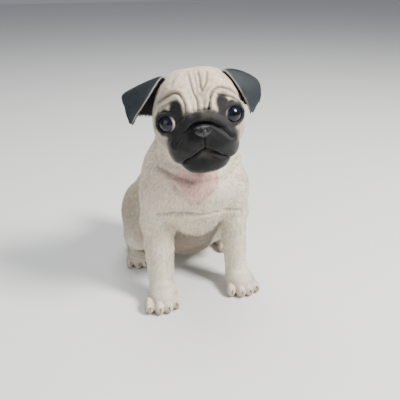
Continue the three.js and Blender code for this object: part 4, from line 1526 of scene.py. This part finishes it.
# %% The coat
MOST_TUFTS = 48000
high, y = root[:, 2] > 70, root[:, 1]
on_head, ahead = skull(root) < 6, to_head(root)[:, 1] < -14
regions = {
    "coat_face": on_head & ahead,
    "coat_crown": on_head & ~ahead,
    "coat_chest": ~on_head & (y < 4) & high,
    "coat_forelegs": ~on_head & (y < 24) & ~high,
    "coat_back": ~on_head & (y >= 4) & high,
    "coat_haunches": ~on_head & (y >= 24) & ~high,
}
triangles = 0
for number, (name, chosen) in enumerate(regions.items()):
    index = np.nonzero(chosen)[0]
    for part, some in enumerate(np.array_split(index, len(index) // MOST_TUFTS + 1)):
        shape = [values[some] for values in (root, normal, way, long, wide, lift)]
        triangles += coat_piece(name + "_" + str(part + 1), shape, dict(zip(MARKS, marks[some].T)),
                                place[some], coat_material, "fawn", 100 + 10 * number + part)
print("coat:", triangles, "triangles,", round(time.time() - started, 1), "s")

# %% [markdown]
# The ears have the shortest hair of all, velvet that lies along the leaf. It is a little longer and
# looser on the inside.

# %% Velvet of the ears
ear_hair = hair("ear_hair", ear_colour, {
    "Roughness": 0.55, "Specular IOR Level": 0.35, "Sheen Weight": 0.15})
draw = np.random.default_rng(31)
VELVET = {
    "outer": (14000, 1200, 1.2, 14), "inner": (6000, 800, 2.2, 24)}


def velvet(side, label):
    """The tufts on one side of one leaf, which stand just on its surface."""
    count, few, long, lift = VELVET[label]
    n, inner = count, int(label == "inner")
    s, t = draw.uniform(0.01, 0.99, n), draw.uniform(0.02, 0.985, n)
    at, along, normal = leaf_frame(side, s, t)
    outward = -normal if inner else normal
    at = from_head(at + outward * half_thick(t, inset_of(s))[:, None])
    place = np.stack([0.5 * inner + 0.01 + 0.47 * s, 0.01 + 0.98 * t], -1)
    shape = (at, outward @ HEAD.T, along @ HEAD.T, long, 0.26 * QUICK_WIDER, np.radians(lift))
    return coat_piece("ear_coat_" + label + "_" + side, shape, ear_marks(s, t, np.full(n, float(inner))),
                      place, ear_hair, "ear_charcoal", 300 + inner)


print("velvet:", VELVET["outer"][0] + VELVET["inner"][0], "tufts an ear")

# %% [markdown]
# Longer dark hair fills the opening of the cup and hides its wall.

# %% Coat of the ears


def cup_coat(side):
    """The tufts on the front of a cup's wall, which hang down and outwards."""
    n = 4200
    s, t = draw.uniform(0.0, 0.98, n), draw.uniform(0.0, 1.0, n)
    at = cup_sheet(side, s, CUP_START + (CUP_END - CUP_START) * t)
    ahead = np.tile([0, -1.0, 0], (n, 1))
    down = np.stack([np.full(n, 0.5 * MIRROR[side]) + draw.normal(0, 0.25, n), np.zeros(n),
                     np.full(n, -1.0)], -1)
    place = np.stack([0.01 + 0.98 * s, 0.01 + 0.98 * t], -1)
    shape = (from_head(at + ahead * 0.5), ahead @ HEAD.T, down @ HEAD.T, 4.2, 0.4, 0.4)
    return coat_piece("ear_coat_cup_" + side, shape, {"inside": np.ones(n)}, place, ear_hair,
                      "ear_charcoal", 340)


for name in ("right", "left"):
    triangles += velvet(name, "outer") + velvet(name, "inner") + cup_coat(name)
print("coat with ears:", triangles, "triangles")

# %% [markdown]
# A pale floor carries the puppy, as in a studio. It is part of the stage, not of the model.

# %% Floor
floor_material, tree, shader = fresh("pale_floor", {
    "Base Color": colour_of(222, 222, 220), "Roughness": 0.85})
floor_mesh = bpy.data.meshes.new("floor")
floor_mesh.from_pydata([(-4, -4, 0), (4, -4, 0), (4, 4, 0), (-4, 4, 0)], [], [(0, 1, 2, 3)])
floor_mesh.materials.append(floor_material)
floor = bpy.data.objects.new("floor", floor_mesh)
bpy.context.scene.collection.objects.link(floor)
print("the floor is 8 m wide")

# %% [markdown]
# The main light comes from above, in front and to the right of the picture, since the chest is
# brightest there. A wide, weak light from the left opens the shadows, and one from above rounds the
# back.

# %% Lights


def lamp(name, at, target, size, power, colour):
    """A square area light at a place, in metres, facing a target."""
    data = bpy.data.lights.new(name, "AREA")
    data.size, data.energy, data.color = size, power, colour
    made = bpy.data.objects.new(name, data)
    made.location = at
    way = mathutils.Vector(target) - mathutils.Vector(at)
    made.rotation_euler = way.to_track_quat("-Z", "Y").to_euler()
    bpy.context.scene.collection.objects.link(made)


lamp("key", (0.75, -0.75, 1.1), (0, 0, 0.12), 0.4, 50, (1.0, 0.98, 0.93))
lamp("fill", (-1.1, -0.7, 0.6), (0, 0, 0.1), 1.0, 7, (0.94, 0.97, 1.0))
lamp("above", (0.0, 0.3, 1.4), (0, 0, 0.1), 0.8, 15, (1.0, 1.0, 1.0))
world = bpy.data.worlds.new("pale_room")
world.use_nodes = True
sky = world.node_tree.nodes["Background"]
sky.inputs["Color"].default_value = (0.86, 0.9, 1.0, 1)
sky.inputs["Strength"].default_value = 0.3
bpy.context.scene.world = world
print(len(bpy.data.lights), "lamps")

# %% [markdown]
# The photograph was taken from a little above and to the puppy's right, from about half a metre.

# %% Camera
CAMERA_AT = (-152.5, -488.0, 297.6)
CAMERA_TURN, CAMERA_DOWN = -18.0, 22.0
camera_data = bpy.data.cameras.new("camera")
camera_data.lens, camera_data.sensor_width = 54, 36
camera = bpy.data.objects.new("camera", camera_data)
camera.location = to_model(CAMERA_AT)
camera.rotation_euler = np.radians([90 - CAMERA_DOWN, 0, CAMERA_TURN])
bpy.context.scene.collection.objects.link(camera)
bpy.context.scene.camera = camera
print("the camera looks down by", CAMERA_DOWN, "degrees")
